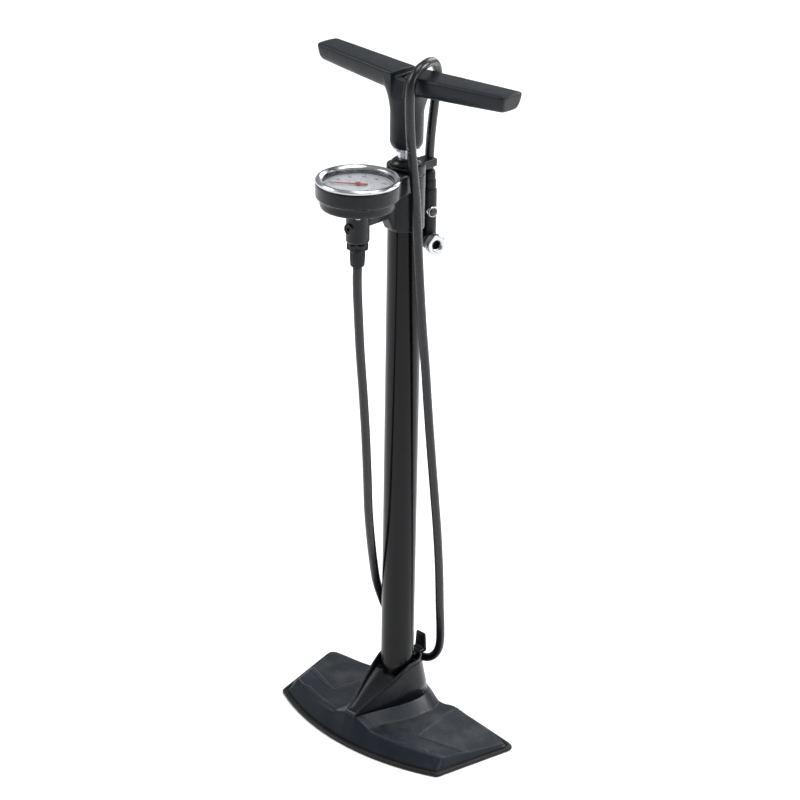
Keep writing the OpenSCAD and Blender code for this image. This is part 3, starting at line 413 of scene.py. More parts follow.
# %% Settled dust
def make_dust():
    """Mask = upward faces, low on the object, where noise lets dust lie."""
    tree, given, result = new_group("settled_dust", [("Clear height", FLOAT, 0.12),
                                                     ("Specks per metre", FLOAT, 420.0)],
                                    [("Mask", FLOAT)])
    place = object_place(tree)
    height = add_node(tree, "ShaderNodeSeparateXYZ", None, Vector=place).outputs["Z"]
    low = add_node(tree, "ShaderNodeMapRange", None, Value=height, From_Min=0.0,
                   From_Max=given.outputs["Clear height"], To_Min=1.0, To_Max=0.0).outputs["Result"]
    normal = tree.nodes.new("ShaderNodeNewGeometry").outputs["Normal"]
    upward = ramp(tree, add_node(tree, "ShaderNodeSeparateXYZ", None, Vector=normal).outputs["Z"],
                  0.5, 1.0)
    film = ramp(tree, noise(tree, place, 34.0, 4.0, 0.6), 0.4, 0.75)
    specks = ramp(tree, noise(tree, place, given.outputs["Specks per metre"], 1.0), 0.68, 0.8)
    cover = maths(tree, "ADD", maths(tree, "MULTIPLY", film, 0.55), specks, clamp=True)
    wire(tree, result, Mask=maths(tree, "MULTIPLY", maths(tree, "MULTIPLY", low, upward), cover))
    return tree


# %% Turning lines
def make_turning():
    """Height = noise read only by the distance from an upright axis and the height: fine rings."""
    tree, given, result = new_group("turning_lines", [("Axis", VECTOR, (0.0, 0.0, 0.0)),
                                                      ("Lines per metre", FLOAT, 2600.0)],
                                    [("Height", FLOAT)])
    local = add_node(tree, "ShaderNodeVectorMath", {"operation": "SUBTRACT"}, i0=object_place(tree),
                     i1=given.outputs["Axis"]).outputs[0]
    parts = add_node(tree, "ShaderNodeSeparateXYZ", None, Vector=local)
    flat = add_node(tree, "ShaderNodeCombineXYZ", None, X=parts.outputs["X"], Y=parts.outputs["Y"])
    radius = add_node(tree, "ShaderNodeVectorMath", {"operation": "LENGTH"},
                      i0=flat.outputs["Vector"]).outputs["Value"]
    rings = add_node(tree, "ShaderNodeCombineXYZ", None, X=radius, Y=parts.outputs["Z"])
    wire(tree, result, Height=noise(tree, rings.outputs["Vector"],
                                    given.outputs["Lines per metre"], 2.0, 0.7))
    return tree


grain, wear, marks = make_grain(), make_wear(), make_marks()
dust, turning = make_dust(), make_turning()
print("node groups:", [g.name for g in (grain, wear, marks, dust, turning)])

# %% Materials from the groups
def start_material(name):
    """A new material, its node tree and its Principled shader."""
    material = bpy.data.materials.new(name)
    material.use_nodes = True
    tree = material.node_tree
    return material, tree, tree.nodes["Principled BSDF"]


def place_group(tree, group, **inputs):
    """The group as a node, its inputs set by name."""
    node = tree.nodes.new("ShaderNodeGroup")
    node.node_tree = group
    wire(tree, node, **inputs)
    return node


def blend_colour(tree, mask, under, over):
    """under where the mask is 0, over where it is 1; either may be a colour or a socket."""
    node = add_node(tree, "ShaderNodeMix", {"data_type": "RGBA"})
    tree.links.new(mask, node.inputs[0])
    for socket, value in ((node.inputs[6], under), (node.inputs[7], over)):
        if isinstance(value, bpy.types.NodeSocket):
            tree.links.new(value, socket)
        else:
            socket.default_value = (*value, 1)
    return node.outputs[2]


def add_bump(tree, shader, height, strength, depth):
    """The height, depth mm at full strength, bends the shader's normal."""
    bump = add_node(tree, "ShaderNodeBump", None, Strength=strength, Distance=depth * MM,
                    Height=height)
    wire(tree, shader, Normal=bump.outputs["Normal"])


def plastic(name, colour, worn, rough, grain_mm, grain_depth, gloss=0.0, dusty=0.0, smear=0.05,
            coarse=None):
    """Moulded plastic: grain in the bump, worn edges, smears, dust low down, a coarser marked area."""
    material, tree, shader = start_material(name)
    surface = place_group(tree, grain, Cells_per_metre=1000 / grain_mm)
    edges = place_group(tree, wear)
    hands = place_group(tree, marks)
    base = blend_colour(tree, edges.outputs["Mask"], colour, worn)
    if dusty:
        film = place_group(tree, dust)
        lay = maths(tree, "MULTIPLY", film.outputs["Mask"], dusty)
        base = blend_colour(tree, lay, base, (0.22, 0.21, 0.2))
    shine = maths(tree, "MULTIPLY", surface.outputs["Shine"], 0.03)
    smears = maths(tree, "MULTIPLY", hands.outputs["Value"], smear)
    uneven = maths(tree, "ADD", maths(tree, "ADD", shine, smears), rough, clamp=True)
    height = surface.outputs["Height"]
    if coarse:
        marked = tree.nodes.new("ShaderNodeAttribute")
        marked.attribute_name = coarse
        uneven = maths(tree, "ADD", uneven, maths(tree, "MULTIPLY", marked.outputs["Fac"], 0.1))
        pebbles = place_group(tree, grain, Cells_per_metre=650.0)
        lift = maths(tree, "MULTIPLY", pebbles.outputs["Height"], marked.outputs["Fac"])
        height = maths(tree, "ADD", height, maths(tree, "MULTIPLY", lift, 2.5))
    wire(tree, shader, Base_Color=base, Roughness=uneven, Specular_IOR_Level=0.22,
         Coat_Weight=gloss, Coat_Roughness=0.12)
    add_bump(tree, shader, height, 0.5, grain_depth)
    return material


def metal(name, colour, rough, axis=(0, 0), lines=2600.0, depth=0.004, dull=(0.3, 0.3, 0.3)):
    """Turned or plated metal: rings of fine lines about its axis, finger marks, dulled patches."""
    material, tree, shader = start_material(name)
    rings = place_group(tree, turning, Axis=(axis[0] * MM, axis[1] * MM, 0), Lines_per_metre=lines)
    hands = place_group(tree, marks, Smears_per_metre=70.0)
    tone = ramp(tree, hands.outputs["Value"], 0.1, 1.6, 0.0, 0.5)
    smears = maths(tree, "MULTIPLY", hands.outputs["Value"], 0.04)
    wire(tree, shader, Base_Color=blend_colour(tree, tone, colour, dull), Metallic=1.0,
         Roughness=maths(tree, "ADD", smears, rough, clamp=True))
    add_bump(tree, shader, rings.outputs["Height"], 0.4, depth)
    return material


print("material helpers ready")

# %% [markdown]
# ### The finishes themselves
# The base and the handle are a blue-black satin with visible grain. The gauge body and the shroud
# are smoother, and the barrel is sprayed and clear-coated. Colours are linear, so near-black
# plastic is about one hundredth or less.

# %% Plastic and rubber
bezel_low, bezel_high = node_box("bezel")
GAUGE_Y = bezel_low[1] / 2 + bezel_high[1] / 2
finishes = {
    "base_plastic": plastic("base_pads", (0.0045, 0.0075, 0.0125), (0.02, 0.023, 0.028), 0.36, 0.8,
                            0.02, dusty=0.2, coarse="tread"),
    "rim_rubber": plastic("rim_moulding", (0.005, 0.005, 0.006), (0.012, 0.012, 0.013), 0.42, 0.9, 0.02,
                          dusty=0.08),
    "shroud_plastic": plastic("shroud_satin", (0.004, 0.005, 0.007), (0.008, 0.009, 0.011), 0.3, 0.5,
                              0.006, gloss=0.05, dusty=0.04),
    "housing_plastic": plastic("gauge_body", (0.003, 0.004, 0.006), (0.007, 0.008, 0.01), 0.3, 0.5,
                               0.008, gloss=0.1),
    "handle_plastic": plastic("handle_satin", (0.006, 0.0085, 0.011), (0.016, 0.02, 0.024), 0.36, 0.6,
                              0.015, smear=0.06),
    "head_plastic": plastic("head_moulding", (0.004, 0.005, 0.007), (0.01, 0.011, 0.013), 0.38, 0.4,
                            0.02),
    "button_black": plastic("button_gloss", (0.004, 0.004, 0.005), (0.02, 0.02, 0.02), 0.14, 0.5,
                            0.005, gloss=0.7),
    "seal_rubber": plastic("seal_black", (0.01, 0.01, 0.01), (0.03, 0.03, 0.03), 0.55, 0.5, 0.03),
    "piston_plastic": plastic("piston_natural", (0.6, 0.57, 0.48), (0.7, 0.68, 0.6), 0.45, 0.6, 0.02),
}
print(len(finishes), "plastics and rubbers")

# %% Metals
finishes["chrome"] = metal("plated_bright", (0.5, 0.51, 0.53), 0.2, (0, GAUGE_Y), 1500.0, 0.002)
finishes["steel"] = metal("machined_steel", (0.5, 0.51, 0.53), 0.3)
finishes["aluminium"] = metal("turned_aluminium", (0.66, 0.67, 0.69), 0.34)
finishes["brass"] = metal("turned_brass", (0.62, 0.44, 0.17), 0.28, (0, GAUGE_Y), 2200.0, 0.003,
                          (0.28, 0.19, 0.08))
print("chrome, steel, aluminium and brass")


# %% Barrel paint
def barrel_paint():
    """Black paint under clear coat: a faint orange-peel bump, hair scratches, softly uneven gloss."""
    material, tree, shader = start_material("barrel_paint")
    hands = place_group(tree, marks, Smears_per_metre=18.0, Scratches_per_metre=420.0)
    tone = maths(tree, "MULTIPLY", hands.outputs["Scratches"], 0.35)
    uneven = maths(tree, "MULTIPLY", hands.outputs["Value"], 0.025)
    wire(tree, shader, Roughness=maths(tree, "ADD", uneven, 0.2, clamp=True),
         Base_Color=blend_colour(tree, tone, (0.002, 0.0023, 0.0032), (0.008, 0.008, 0.01)),
         Specular_IOR_Level=0.12, Coat_Weight=0.15, Coat_Roughness=0.06)
    add_bump(tree, shader, noise(tree, object_place(tree), 420.0, 2.0), 0.25, 0.01)
    return material


# %% Hose rubber
def hose_rubber():
    """Extruded rubber: fine lines along the hose from its own length map, grain and bloom."""
    material, tree, shader = start_material("hose_rubber")
    own = add_node(tree, "ShaderNodeUVMap", {"uv_map": "hose"}).outputs["UV"]
    along = add_node(tree, "ShaderNodeMapping", None, Vector=own, Scale=(0.12, 60.0, 1.0))
    lines = noise(tree, along.outputs["Vector"], 1.0, 3.0, 0.6)
    surface = place_group(tree, grain, Cells_per_metre=1800.0, Lumps_per_metre=120.0)
    bloom = ramp(tree, noise(tree, object_place(tree), 55.0, 5.0, 0.65), 0.5, 0.8)
    uneven = maths(tree, "MULTIPLY", surface.outputs["Shine"], 0.05)
    wire(tree, shader, Roughness=maths(tree, "ADD", uneven, 0.3, clamp=True),
         Base_Color=blend_colour(tree, bloom, (0.0035, 0.004, 0.006), (0.008, 0.009, 0.012)),
         Specular_IOR_Level=0.35, Coat_Weight=0.12, Coat_Roughness=0.2)
    height = maths(tree, "ADD", maths(tree, "MULTIPLY", surface.outputs["Height"], 0.3), lines)
    add_bump(tree, shader, height, 0.35, 0.03)
    return material


# %% Dial, needle and glass
def enamel(name, colour, fleck, rough):
    """Printed or sprayed enamel: a fine fleck in the colour and an eggshell gloss."""
    material, tree, shader = start_material(name)
    place = object_place(tree)
    flecks = ramp(tree, noise(tree, place, 2400.0, 2.0), 0.5, 0.8)
    uneven = ramp(tree, noise(tree, place, 180.0, 3.0), 0.3, 0.7, rough - 0.05, rough + 0.05)
    wire(tree, shader, Base_Color=blend_colour(tree, flecks, colour, fleck), Roughness=uneven)
    return material


def clear_lens():
    """Clear polycarbonate with a faint haze of wipe marks."""
    material, tree, shader = start_material("clear_lens")
    hands = place_group(tree, marks, Smears_per_metre=45.0)
    wire(tree, shader, Base_Color=(0.97, 0.98, 0.99, 1), Transmission_Weight=1.0, IOR=1.2,
         Roughness=ramp(tree, hands.outputs["Value"], -1.0, 1.6, 0.0, 0.06))
    return material


finishes["barrel_black"] = barrel_paint()
finishes["hose_rubber"] = hose_rubber()
finishes["dial_white"] = enamel("dial_enamel", (0.6, 0.61, 0.63), (0.52, 0.53, 0.55), 0.4)
finishes["needle_red"] = enamel("needle_enamel", (0.4, 0.03, 0.02), (0.32, 0.02, 0.02), 0.35)
finishes["glass"] = clear_lens()
ink_black = enamel("scale_ink", (0.012, 0.012, 0.013), (0.03, 0.03, 0.03), 0.5)
ink_red = enamel("scale_red_ink", (0.5, 0.03, 0.02), (0.42, 0.03, 0.02), 0.5)

# %% Put the finishes on the CAD pieces
for subpart in frame["record"]["subparts"]:
    node = frame["nodes"][subpart["node"]]
    node.data.materials.clear()
    node.data.materials.append(finishes[subpart["material_slot"]])


def finish_piece(piece, body, slot, *nodes, finish=None):
    """The piece gets its finish, rides on the body and stands for the CAD nodes."""
    piece.data.materials.clear()
    piece.data.materials.append(finish or finishes[slot])
    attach(piece, body)
    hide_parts(*nodes)
    print(piece.name, len(piece.data.polygons), "faces, for", ", ".join(nodes))


# %% [markdown]
# ## Hose
# The real hose is a 9 mm rubber tube. It leaves the ribbed ferrule under the gauge, hangs past the
# left of the barrel, goes under the hook behind the shroud, climbs the right side, crosses the
# handle and comes down into the head. A bevelled curve could make it too, but a swept grid also
# carries a map of its length, which the finish needs for the fine lines that extrusion leaves.

# %% Hose route and length
HOSE_DIAMETER = 9
HOSE_SIDES = 32
HOSE_STEPS = 9              # rings between two route points
HOSE_ROUTE = np.array([
    (0, -64, 521.8), (0, -64, 503), (0, -62, 470), (-1, -58, 430), (-2.5, -52, 385), (-4, -46.5, 339),
    (-6, -41.5, 293), (-8.5, -36.5, 249), (-12, -29, 212), (-16.5, -20.5, 183), (-21, -11, 155),
    (-24, 1, 128), (-25.4, 13, 104), (-25.6, 21, 88), (-24.6, 27.5, 74), (-20.8, 32, 63.6),
    (-14.4, 35, 57.2), (-7.4, 36.4, 54.4), (0, 37, 53.6), (7.2, 37.6, 54.8), (13.2, 38.4, 58.2),
    (18, 39.1, 63.6), (22, 39.3, 71.6), (25.2, 37.8, 83), (27.6, 35, 101), (29.5, 31, 130),
    (31.5, 26.5, 172), (33.5, 20, 220), (34, 13.5, 268), (33.5, 8, 315), (32.5, 3.5, 360),
    (31.5, -0.5, 405), (30, -5, 452), (28.5, -8.5, 500), (27, -11, 545), (26, -13.5, 585),
    (25.3, -17.5, 617), (24.6, -20.8, 647), (24.2, -22, 670), (24.4, -22, 686), (24.6, -19.4, 697.6),
    (24, -11.6, 705.8), (22, -1, 708.6), (18.8, 8.6, 708.6), (15.4, 18.8, 705.6), (12.6, 26.4, 697.6),
    (10.4, 29.4, 686), (7.4, 30.4, 668), (4.6, 31, 650), (2, 31.6, 632), (0.4, 32, 614), (0, 32, 594.8),])


def smooth_path(points, steps):
    """Centripetal Catmull-Rom curve: each span blends its four neighbours, spaced by root distance."""
    p = np.vstack([2 * points[0] - points[1], points, 2 * points[-1] - points[-2]])
    knots = np.concatenate([[0], np.cumsum(np.linalg.norm(np.diff(p, axis=0), axis=1) ** 0.5)])
    spans = []
    for k in range(len(points) - 1):
        t0, t1, t2, t3 = knots[k:k + 4]
        p0, p1, p2, p3 = p[k:k + 4]
        t = np.linspace(t1, t2, steps, endpoint=False)[:, None]
        a1 = (t1 - t) / (t1 - t0) * p0 + (t - t0) / (t1 - t0) * p1
        a2 = (t2 - t) / (t2 - t1) * p1 + (t - t1) / (t2 - t1) * p2
        a3 = (t3 - t) / (t3 - t2) * p2 + (t - t2) / (t3 - t2) * p3
        b1 = (t2 - t) / (t2 - t0) * a1 + (t - t0) / (t2 - t0) * a2
        b2 = (t3 - t) / (t3 - t1) * a2 + (t - t1) / (t3 - t1) * a3
        spans.append((t2 - t) / (t2 - t1) * b1 + (t - t1) / (t2 - t1) * b2)
    return np.vstack([*spans, points[-1:]])


def path_frames(path):
    """Tangents, and two normals that are carried along the path without twisting."""
    tangents = np.gradient(path, axis=0)
    tangents /= np.linalg.norm(tangents, axis=1)[:, None]
    normal = np.array([1.0, 0, 0])
    normals = []
    for t in tangents:
        normal = normal - (normal @ t) * t
        normal = normal / np.linalg.norm(normal)
        normals.append(normal)
    normals = np.array(normals)
    return normals, np.cross(tangents, normals)


def sweep_tube(name, path, radius, sides):
    """Circle carried along the path: P(s, a) = path(s) + r (cos a N + sin a B)."""
    normals, binormals = path_frames(path)
    angle = np.linspace(0, 2 * np.pi, sides, endpoint=False)
    ring = (np.cos(angle)[None, :, None] * normals[:, None, :]
            + np.sin(angle)[None, :, None] * binormals[:, None, :])
    return loft(name, path[:, None, :] + radius * ring)


def length_map(piece, path, sides, label):
    """A UV map: u = length along the path in hose diameters, v = turn round the tube from 0 to 1."""
    length = np.concatenate([[0], np.cumsum(np.linalg.norm(np.diff(path, axis=0), axis=1))])
    mesh = piece.data
    corners = np.empty(len(mesh.loops), int)
    mesh.loops.foreach_get("vertex_index", corners)
    turn = corners % sides
    quads = turn[:4 * sides * (len(path) - 1)].reshape(-1, 4)
    last = quads.max(axis=1) == sides - 1
    quads[last] = np.where(quads[last] == 0, sides, quads[last])
    where = np.column_stack([length[corners // sides] / HOSE_DIAMETER, turn / sides])
    mesh.uv_layers.new(name=label).data.foreach_set("uv", where.ravel())


hose_path = smooth_path(HOSE_ROUTE, HOSE_STEPS)
hose = sweep_tube("rubber_hose", hose_path, HOSE_DIAMETER / 2, HOSE_SIDES)
length_map(hose, hose_path, HOSE_SIDES, "hose")
finish_piece(hose, "pump_body", "hose_rubber", "hose")

# %% [markdown]
# ## Turned pieces on the barrel's axis
# The barrel, the rod, the guide that the rod slides in and the plated ring under the handle are
# all lathe shapes. Each is a short profile with softened corners, turned in many sides, so that
# the gloss paint shows one smooth streak of light and not a fan of flats.

# %% Barrel, rod, guide and ring
AXIS = upright(0, 0)
BARREL_WALL, ROD_WALL, GUIDE_R = 1.2, 1.7, 14.2
SLIP = 0.05                 # mm between a bore and what goes through it
barrel_low, barrel_high = node_box("barrel")
barrel_r = barrel_high[0]
rod_low, rod_high = node_box("rod")
rod_r = rod_high[0]


def tube_profile(outer, inner, start, end, radius):
    """A closed tube wall: outer face, top lip, inner face, bottom lip."""
    return soften_loop([(outer, start), (outer, end), (inner, end), (inner, start)], radius)


barrel = revolve("barrel_tube", tube_profile(barrel_r, barrel_r - BARREL_WALL, barrel_low[2],
                                             barrel_high[2], 0.5), AXIS, 192, ring=True)
finish_piece(barrel, "pump_body", "barrel_black", "barrel")
rod = revolve("plated_rod", tube_profile(rod_r, rod_r - ROD_WALL, rod_low[2], rod_high[2], 0.4),
              AXIS, 128, ring=True)
rod_chrome = metal("rod_plating", (0.5, 0.51, 0.53), 0.12, (0, 0), 900.0, 0.002)
finish_piece(rod, "handle_and_rod", "chrome", "rod", finish=rod_chrome)
guide_low, guide_high = node_box("rod_guide")
CAP_TOP = node_box("top_cap")[1][2]
guide = revolve("guide_bush", soften_loop(
    [(rod_r + 0.06, guide_low[2]), (GUIDE_R, guide_low[2]), (GUIDE_R, CAP_TOP),
     (GUIDE_R + 0.7, CAP_TOP + 0.1), (GUIDE_R + 0.5, CAP_TOP + 2.2), (GUIDE_R - 1.5, CAP_TOP + 4.4),
     (GUIDE_R - 4, guide_high[2]), (rod_r + 0.06, guide_high[2])], 0.6), AXIS, 128, ring=True)
finish_piece(guide, "pump_body", "housing_plastic", "rod_guide")
ring_low, ring_high = node_box("stem_ring")
stem_ring = revolve("stem_band", tube_profile(ring_high[0], rod_r + SLIP, ring_low[2], ring_high[2], 0.4),
                    AXIS, 128, ring=True)
finish_piece(stem_ring, "handle_and_rod", "chrome", "stem_ring", finish=rod_chrome)

# %% [markdown]
# ## Base
# The foot is one moulding: a rim that stands on the floor, a shell that rises inside it, two
# sloping pads to stand on, and a skirt that climbs to the shroud. Seen from above it is a height
# for every point inside the outline, so the shell is a set of rings that shrink from the outline
# to the middle, and the height formula adds the skirt, the sunk treads and their raised lines.

# %% Base outline
BASE_FRONT_R, BASE_FRONT_Y = 259, 84
BASE_FRONT_HALF, BASE_BACK_HALF, BASE_BACK_Y = 113, 134, 37
RIM_W = 5.5                 # the rim outside the shell
BASE_AROUND = 560           # points round the outline


def resample(outline, count):
    """Points at equal steps along a closed outline."""
    closed = np.vstack([outline, outline[:1]])
    length = np.concatenate([[0], np.cumsum(np.linalg.norm(np.diff(closed, axis=0), axis=1))])
    steps = np.linspace(0, length[-1], count, endpoint=False)
    return np.column_stack([np.interp(steps, length, closed[:, k]) for k in (0, 1)])


def mirror_half(half):
    """A right half outline and its mirror image, as one loop."""
    return np.vstack([half, half[-2:0:-1] * (-1, 1)])


def base_outline(front_in, end_in, back_in, corner):
    """Arc in front, straight ends, shallow notch behind the shroud; moved inwards and rounded."""
    radius = BASE_FRONT_R - front_in
    tip = math.asin((BASE_FRONT_HALF - end_in) / radius)
    angle = np.linspace(0, tip, 20)
    arc = np.column_stack([radius * np.sin(angle),
                           BASE_FRONT_R - BASE_FRONT_Y - radius * np.cos(angle)])
    back = np.array([(BASE_BACK_HALF - end_in, BASE_BACK_Y), (61, BASE_BACK_Y + 9),
                     (46, BASE_BACK_Y + 9), (38, BASE_BACK_Y + 3.5), (0, BASE_BACK_Y + 4.5)])
    half = np.vstack([arc, back - (0, back_in)])
    return resample(soften_loop(mirror_half(half), corner), BASE_AROUND)


def shroud_outline(radius, back_y, tip_y, tip_half, count):
    """Half width = tip + (r - tip) sin(90 s)^1.3 along the sides, then a half circle behind."""
    s = np.linspace(0, 1, 60)
    side = np.column_stack([tip_half + (radius - tip_half) * np.sin(s * np.pi / 2) ** 1.3,
                            tip_y + (back_y - tip_y) * s])
    angle = np.linspace(0, np.pi / 2, 40)[1:]
    back = np.column_stack([radius * np.cos(angle), back_y + radius * np.sin(angle)])
    return resample(mirror_half(np.vstack([[0, tip_y], side, back])), count)


print("outline points:", len(base_outline(0, 0, 0, 9)))

# %% Base height
PAD_TOP, SKIRT_TOP = 18.6, 28
SHROUD_FOOT_R, SHROUD_BACK_Y, SHROUD_TIP_Y, SHROUD_TIP_HALF = 27, 8, -68, 6.5
TREAD = [(111, -12), (62, -31), (51, 30), (64, 60), (150, 60), (150, -12)]
TREAD_LINES = [((113, -17), (70, -32)), ((51, 30), (62, 44)), ((62, -31), (51, 30))]
TREAD_LINE_HEIGHTS = (0.55, 0.6, 0.25)
FRONT_BAND = 23             # mm in from the front edge, where the raised band ends


def smooth_step(value, start, end):
    """3t^2 - 2t^3 between start and end."""
    t = np.clip((value - start) / (end - start), 0, 1)
    return t * t * (3 - 2 * t)


def segment_distance(x, y, a, b):
    """Distance in plan from each point to the segment a-b."""
    a, b = np.array(a, float), np.array(b, float)
    along = ((x - a[0]) * (b - a)[0] + (y - a[1]) * (b - a)[1]) / ((b - a) @ (b - a))
    along = np.clip(along, 0, 1)
    return np.hypot(x - a[0] - along * (b - a)[0], y - a[1] - along * (b - a)[1])


def outline_distance(x, y, outline):
    """Signed distance in plan to a closed outline, negative inside."""
    nearest = np.full(x.shape, np.inf)
    inside = np.zeros(x.shape, bool)
    for a, b in zip(outline, np.roll(outline, -1, axis=0)):
        nearest = np.minimum(nearest, segment_distance(x, y, a, b))
        crosses = (a[1] > y) != (b[1] > y)
        rise = b[1] - a[1] if b[1] != a[1] else 1e-9
        inside ^= crosses & (x < a[0] + (y - a[1]) * (b[0] - a[0]) / rise)
    return np.where(inside, -nearest, nearest)


def tread_depth(x, y):
    """1 inside the treads and 0 outside, with an edge 1.4 mm wide."""
    return smooth_step(-outline_distance(np.abs(x), y, np.array(TREAD, float)), -0.7, 0.7)


def front_band(x, y):
    """1 on the band behind the front edge, falling over 1.6 mm where it meets the standing pad."""
    inward = BASE_FRONT_R - np.hypot(x, y - (BASE_FRONT_R - BASE_FRONT_Y))
    width = FRONT_BAND - 4 * smooth_step(np.abs(x), 84, 92)
    return 1 - smooth_step(inward, width - 0.8, width + 0.8)


def base_height(x, y):
    """Sloping pad and front band, less the treads, plus their lines, and the skirt to the shroud."""
    pad = PAD_TOP - 0.062 * np.abs(x) - 0.054 * y - 0.9 * tread_depth(x, y)
    pad = pad + 1.0 * (front_band(x, y) - 1)
    for (a, b), height in zip(TREAD_LINES, TREAD_LINE_HEIGHTS):
        pad = pad + height * np.exp(-(segment_distance(np.abs(x), y, a, b) / 0.75) ** 2)
    foot = shroud_outline(SHROUD_FOOT_R, SHROUD_BACK_Y, SHROUD_TIP_Y, SHROUD_TIP_HALF, 90)
    away = np.maximum(outline_distance(x, y, foot), 0)
    reach = 11.5 + 6 * smooth_step(-y, 40, 66)
    rise = 1 - away / reach
    rise = 0.5 * (rise + np.sqrt(rise ** 2 + 0.0006)) - 0.013
    return pad + (SKIRT_TOP - pad) * np.clip(rise, 0, 1)


print("skirt and pad, mm:", np.round(base_height(np.array([0, 60.0]), np.array([0, 0.0])), 2))

# %% Base shell
SOLE_TOP = node_box("sole")[1][2]
SHELL_RINGS = 112


def base_shell():
    """Rings from the rim: P = edge + t (top - edge) up the wall, a parabola over the edge, then in."""
    edge = base_outline(RIM_W, RIM_W, RIM_W, 6)
    top = base_outline(RIM_W + 10.5, RIM_W + 2.5, RIM_W + 2, 6)
    middle = np.array([0, -14.0])
    crest = base_height(*top.T)
    rings = [np.column_stack([edge + t * (top - edge), SOLE_TOP + t * (crest - SOLE_TOP)])
             for t in (0, 0.03, 0.3, 0.6, 0.84)]
    low, knee = rings[-1], np.column_stack([top, crest])
    inner = top + 0.022 * (middle - top)
    high = np.column_stack([inner, base_height(*inner.T)])
    for t in np.linspace(0.2, 1, 5):
        rings.append((1 - t) ** 2 * low + 2 * t * (1 - t) * knee + t ** 2 * high)
    for share in np.linspace(0.03, 0.996, SHELL_RINGS):
        flat = top + share * (middle - top)
        rings.append(np.column_stack([flat, base_height(*flat.T)]))
    return loft("base_shell", rings)


base = base_shell()
places = np.empty(len(base.data.vertices) * 3)
base.data.vertices.foreach_get("co", places)
places = places.reshape(-1, 3) / MM
tread = base.data.attributes.new("tread", "FLOAT", "POINT")
tread.data.foreach_set("value", tread_depth(places[:, 0], places[:, 1]))
finish_piece(base, "pump_body", "base_plastic", "base_plate")

# %% Rim under the base
SCREW_SPOTS = [(98, -38), (112, 18), (-98, -38), (-112, 18)]


def base_rim():
    """The outline at a run of insets and heights: a round outer edge, a groove, then a flat."""
    section = [(2.2, 0), (0.7, 0.1), (0, 1.0), (0, 2.6), (0.4, 3.5), (1.3, 4.0), (3.4, 4.0), (3.8, 3.2),
               (4.9, 3.2), (5.3, 3.9), (8, 3.95)]
    rings = [np.column_stack([base_outline(inset, inset, inset, 9),
                              np.full(BASE_AROUND, z)]) for inset, z in section]
    rim = loft("base_rim", rings)
    holes = [drum("hole", upright(x, y), 3.6, -1, 2.4, 32) for x, y in SCREW_SPOTS]
    return cut(rim, drum("hole", AXIS, 7.5, -1, 3.9, 48), *holes)


rim = base_rim()
finish_piece(rim, "pump_body", "rim_rubber", "sole")

# %% [markdown]
# ## Shroud and hose hook
# A pointed hood holds the foot of the barrel. Its rim slopes down to the front and has a bright
# rounded lip, and behind it sits the hook that the hose is pulled under. The hood is a loft of the
# same outline at many heights, out, over the lip and back down into the pocket round the barrel.

# %% Shroud
RIM_BACK_Z, RIM_SLOPE, SHROUD_RIM_R, SHROUD_RIM_BACK_Y = 69, 0.583, 20.8, 6
SHROUD_AROUND = 240


def rim_height(y):
    """Level behind the barrel, then sloping down to the tip, with a soft knee."""
    slope = RIM_BACK_Z + 2 + RIM_SLOPE * y
    return 0.5 * (RIM_BACK_Z + slope - np.sqrt((RIM_BACK_Z - slope) ** 2 + 1.5))


def shroud_ring(share, outward, drop, deep=None):
    """Outline between foot (share 0) and rim (share 1), grown outward mm and lowered drop mm."""
    radius = SHROUD_FOOT_R + (SHROUD_RIM_R - SHROUD_FOOT_R) * share + outward
    back = SHROUD_BACK_Y + (SHROUD_RIM_BACK_Y - SHROUD_BACK_Y) * share
    tip_half = max(SHROUD_TIP_HALF + outward, 0.6)
    flat = shroud_outline(radius, back, SHROUD_TIP_Y - 1.5 * outward, tip_half, SHROUD_AROUND)
    high = rim_height(flat[:, 1]) - drop
    z = SKIRT_TOP - 0.5 + (high - SKIRT_TOP + 0.5) * share
    if deep is not None:
        z = np.minimum(z, deep(flat[:, 1]))
    return np.column_stack([flat, z])


def pocket_floor(y):
    """The pocket's floor: level round the barrel, then rising with the rim towards the tip."""
    return np.minimum(56, rim_height(y) - 7.5 * (y - SHROUD_TIP_Y) / -SHROUD_TIP_Y - 0.8)


def fill_across(piece, around):
    """The last ring's cap is remade as strips between points that mirror each other in X."""
    shell = bmesh.new()
    shell.from_mesh(piece.data)
    shell.verts.ensure_lookup_table()
    caps = [f for f in shell.faces if len(f.verts) == around]
    cap = max(caps, key=lambda f: f.calc_center_median().z)
    first = len(shell.verts) - around
    bmesh.ops.delete(shell, geom=[cap], context="FACES_ONLY")
    for i in range(around // 2):
        order = [i, i + 1, around - i - 1, (around - i) % around]
        corners = [shell.verts[first + k] for k in dict.fromkeys(order)]
        shell.faces.new(corners).smooth = True
    bmesh.ops.recalc_face_normals(shell, faces=shell.faces)
    shell.to_mesh(piece.data)
    shell.free()
    return piece


def shroud_shell():
    """Outer wall, lip, inner wall and pocket floor, as rings of one outline."""
    rings = [shroud_ring(share, 0, 0) for share in (0, 0.3, 0.6, 0.85, 0.93)]
    rings += [shroud_ring(1, out, drop) for out, drop in
              ((0.1, 2.6), (0.6, 2.1), (0.7, 1.2), (0.45, 0.35), (-0.1, 0), (-0.9, 0), (-1.5, 0.4),
               (-1.9, 1.4))]
    rings.append(shroud_ring(1, -2.4, 0, pocket_floor))
    rings.append(shroud_ring(1, -3.4, 0, lambda y: pocket_floor(y) - 0.8))
    return fill_across(loft("shroud_hood", rings), SHROUD_AROUND)


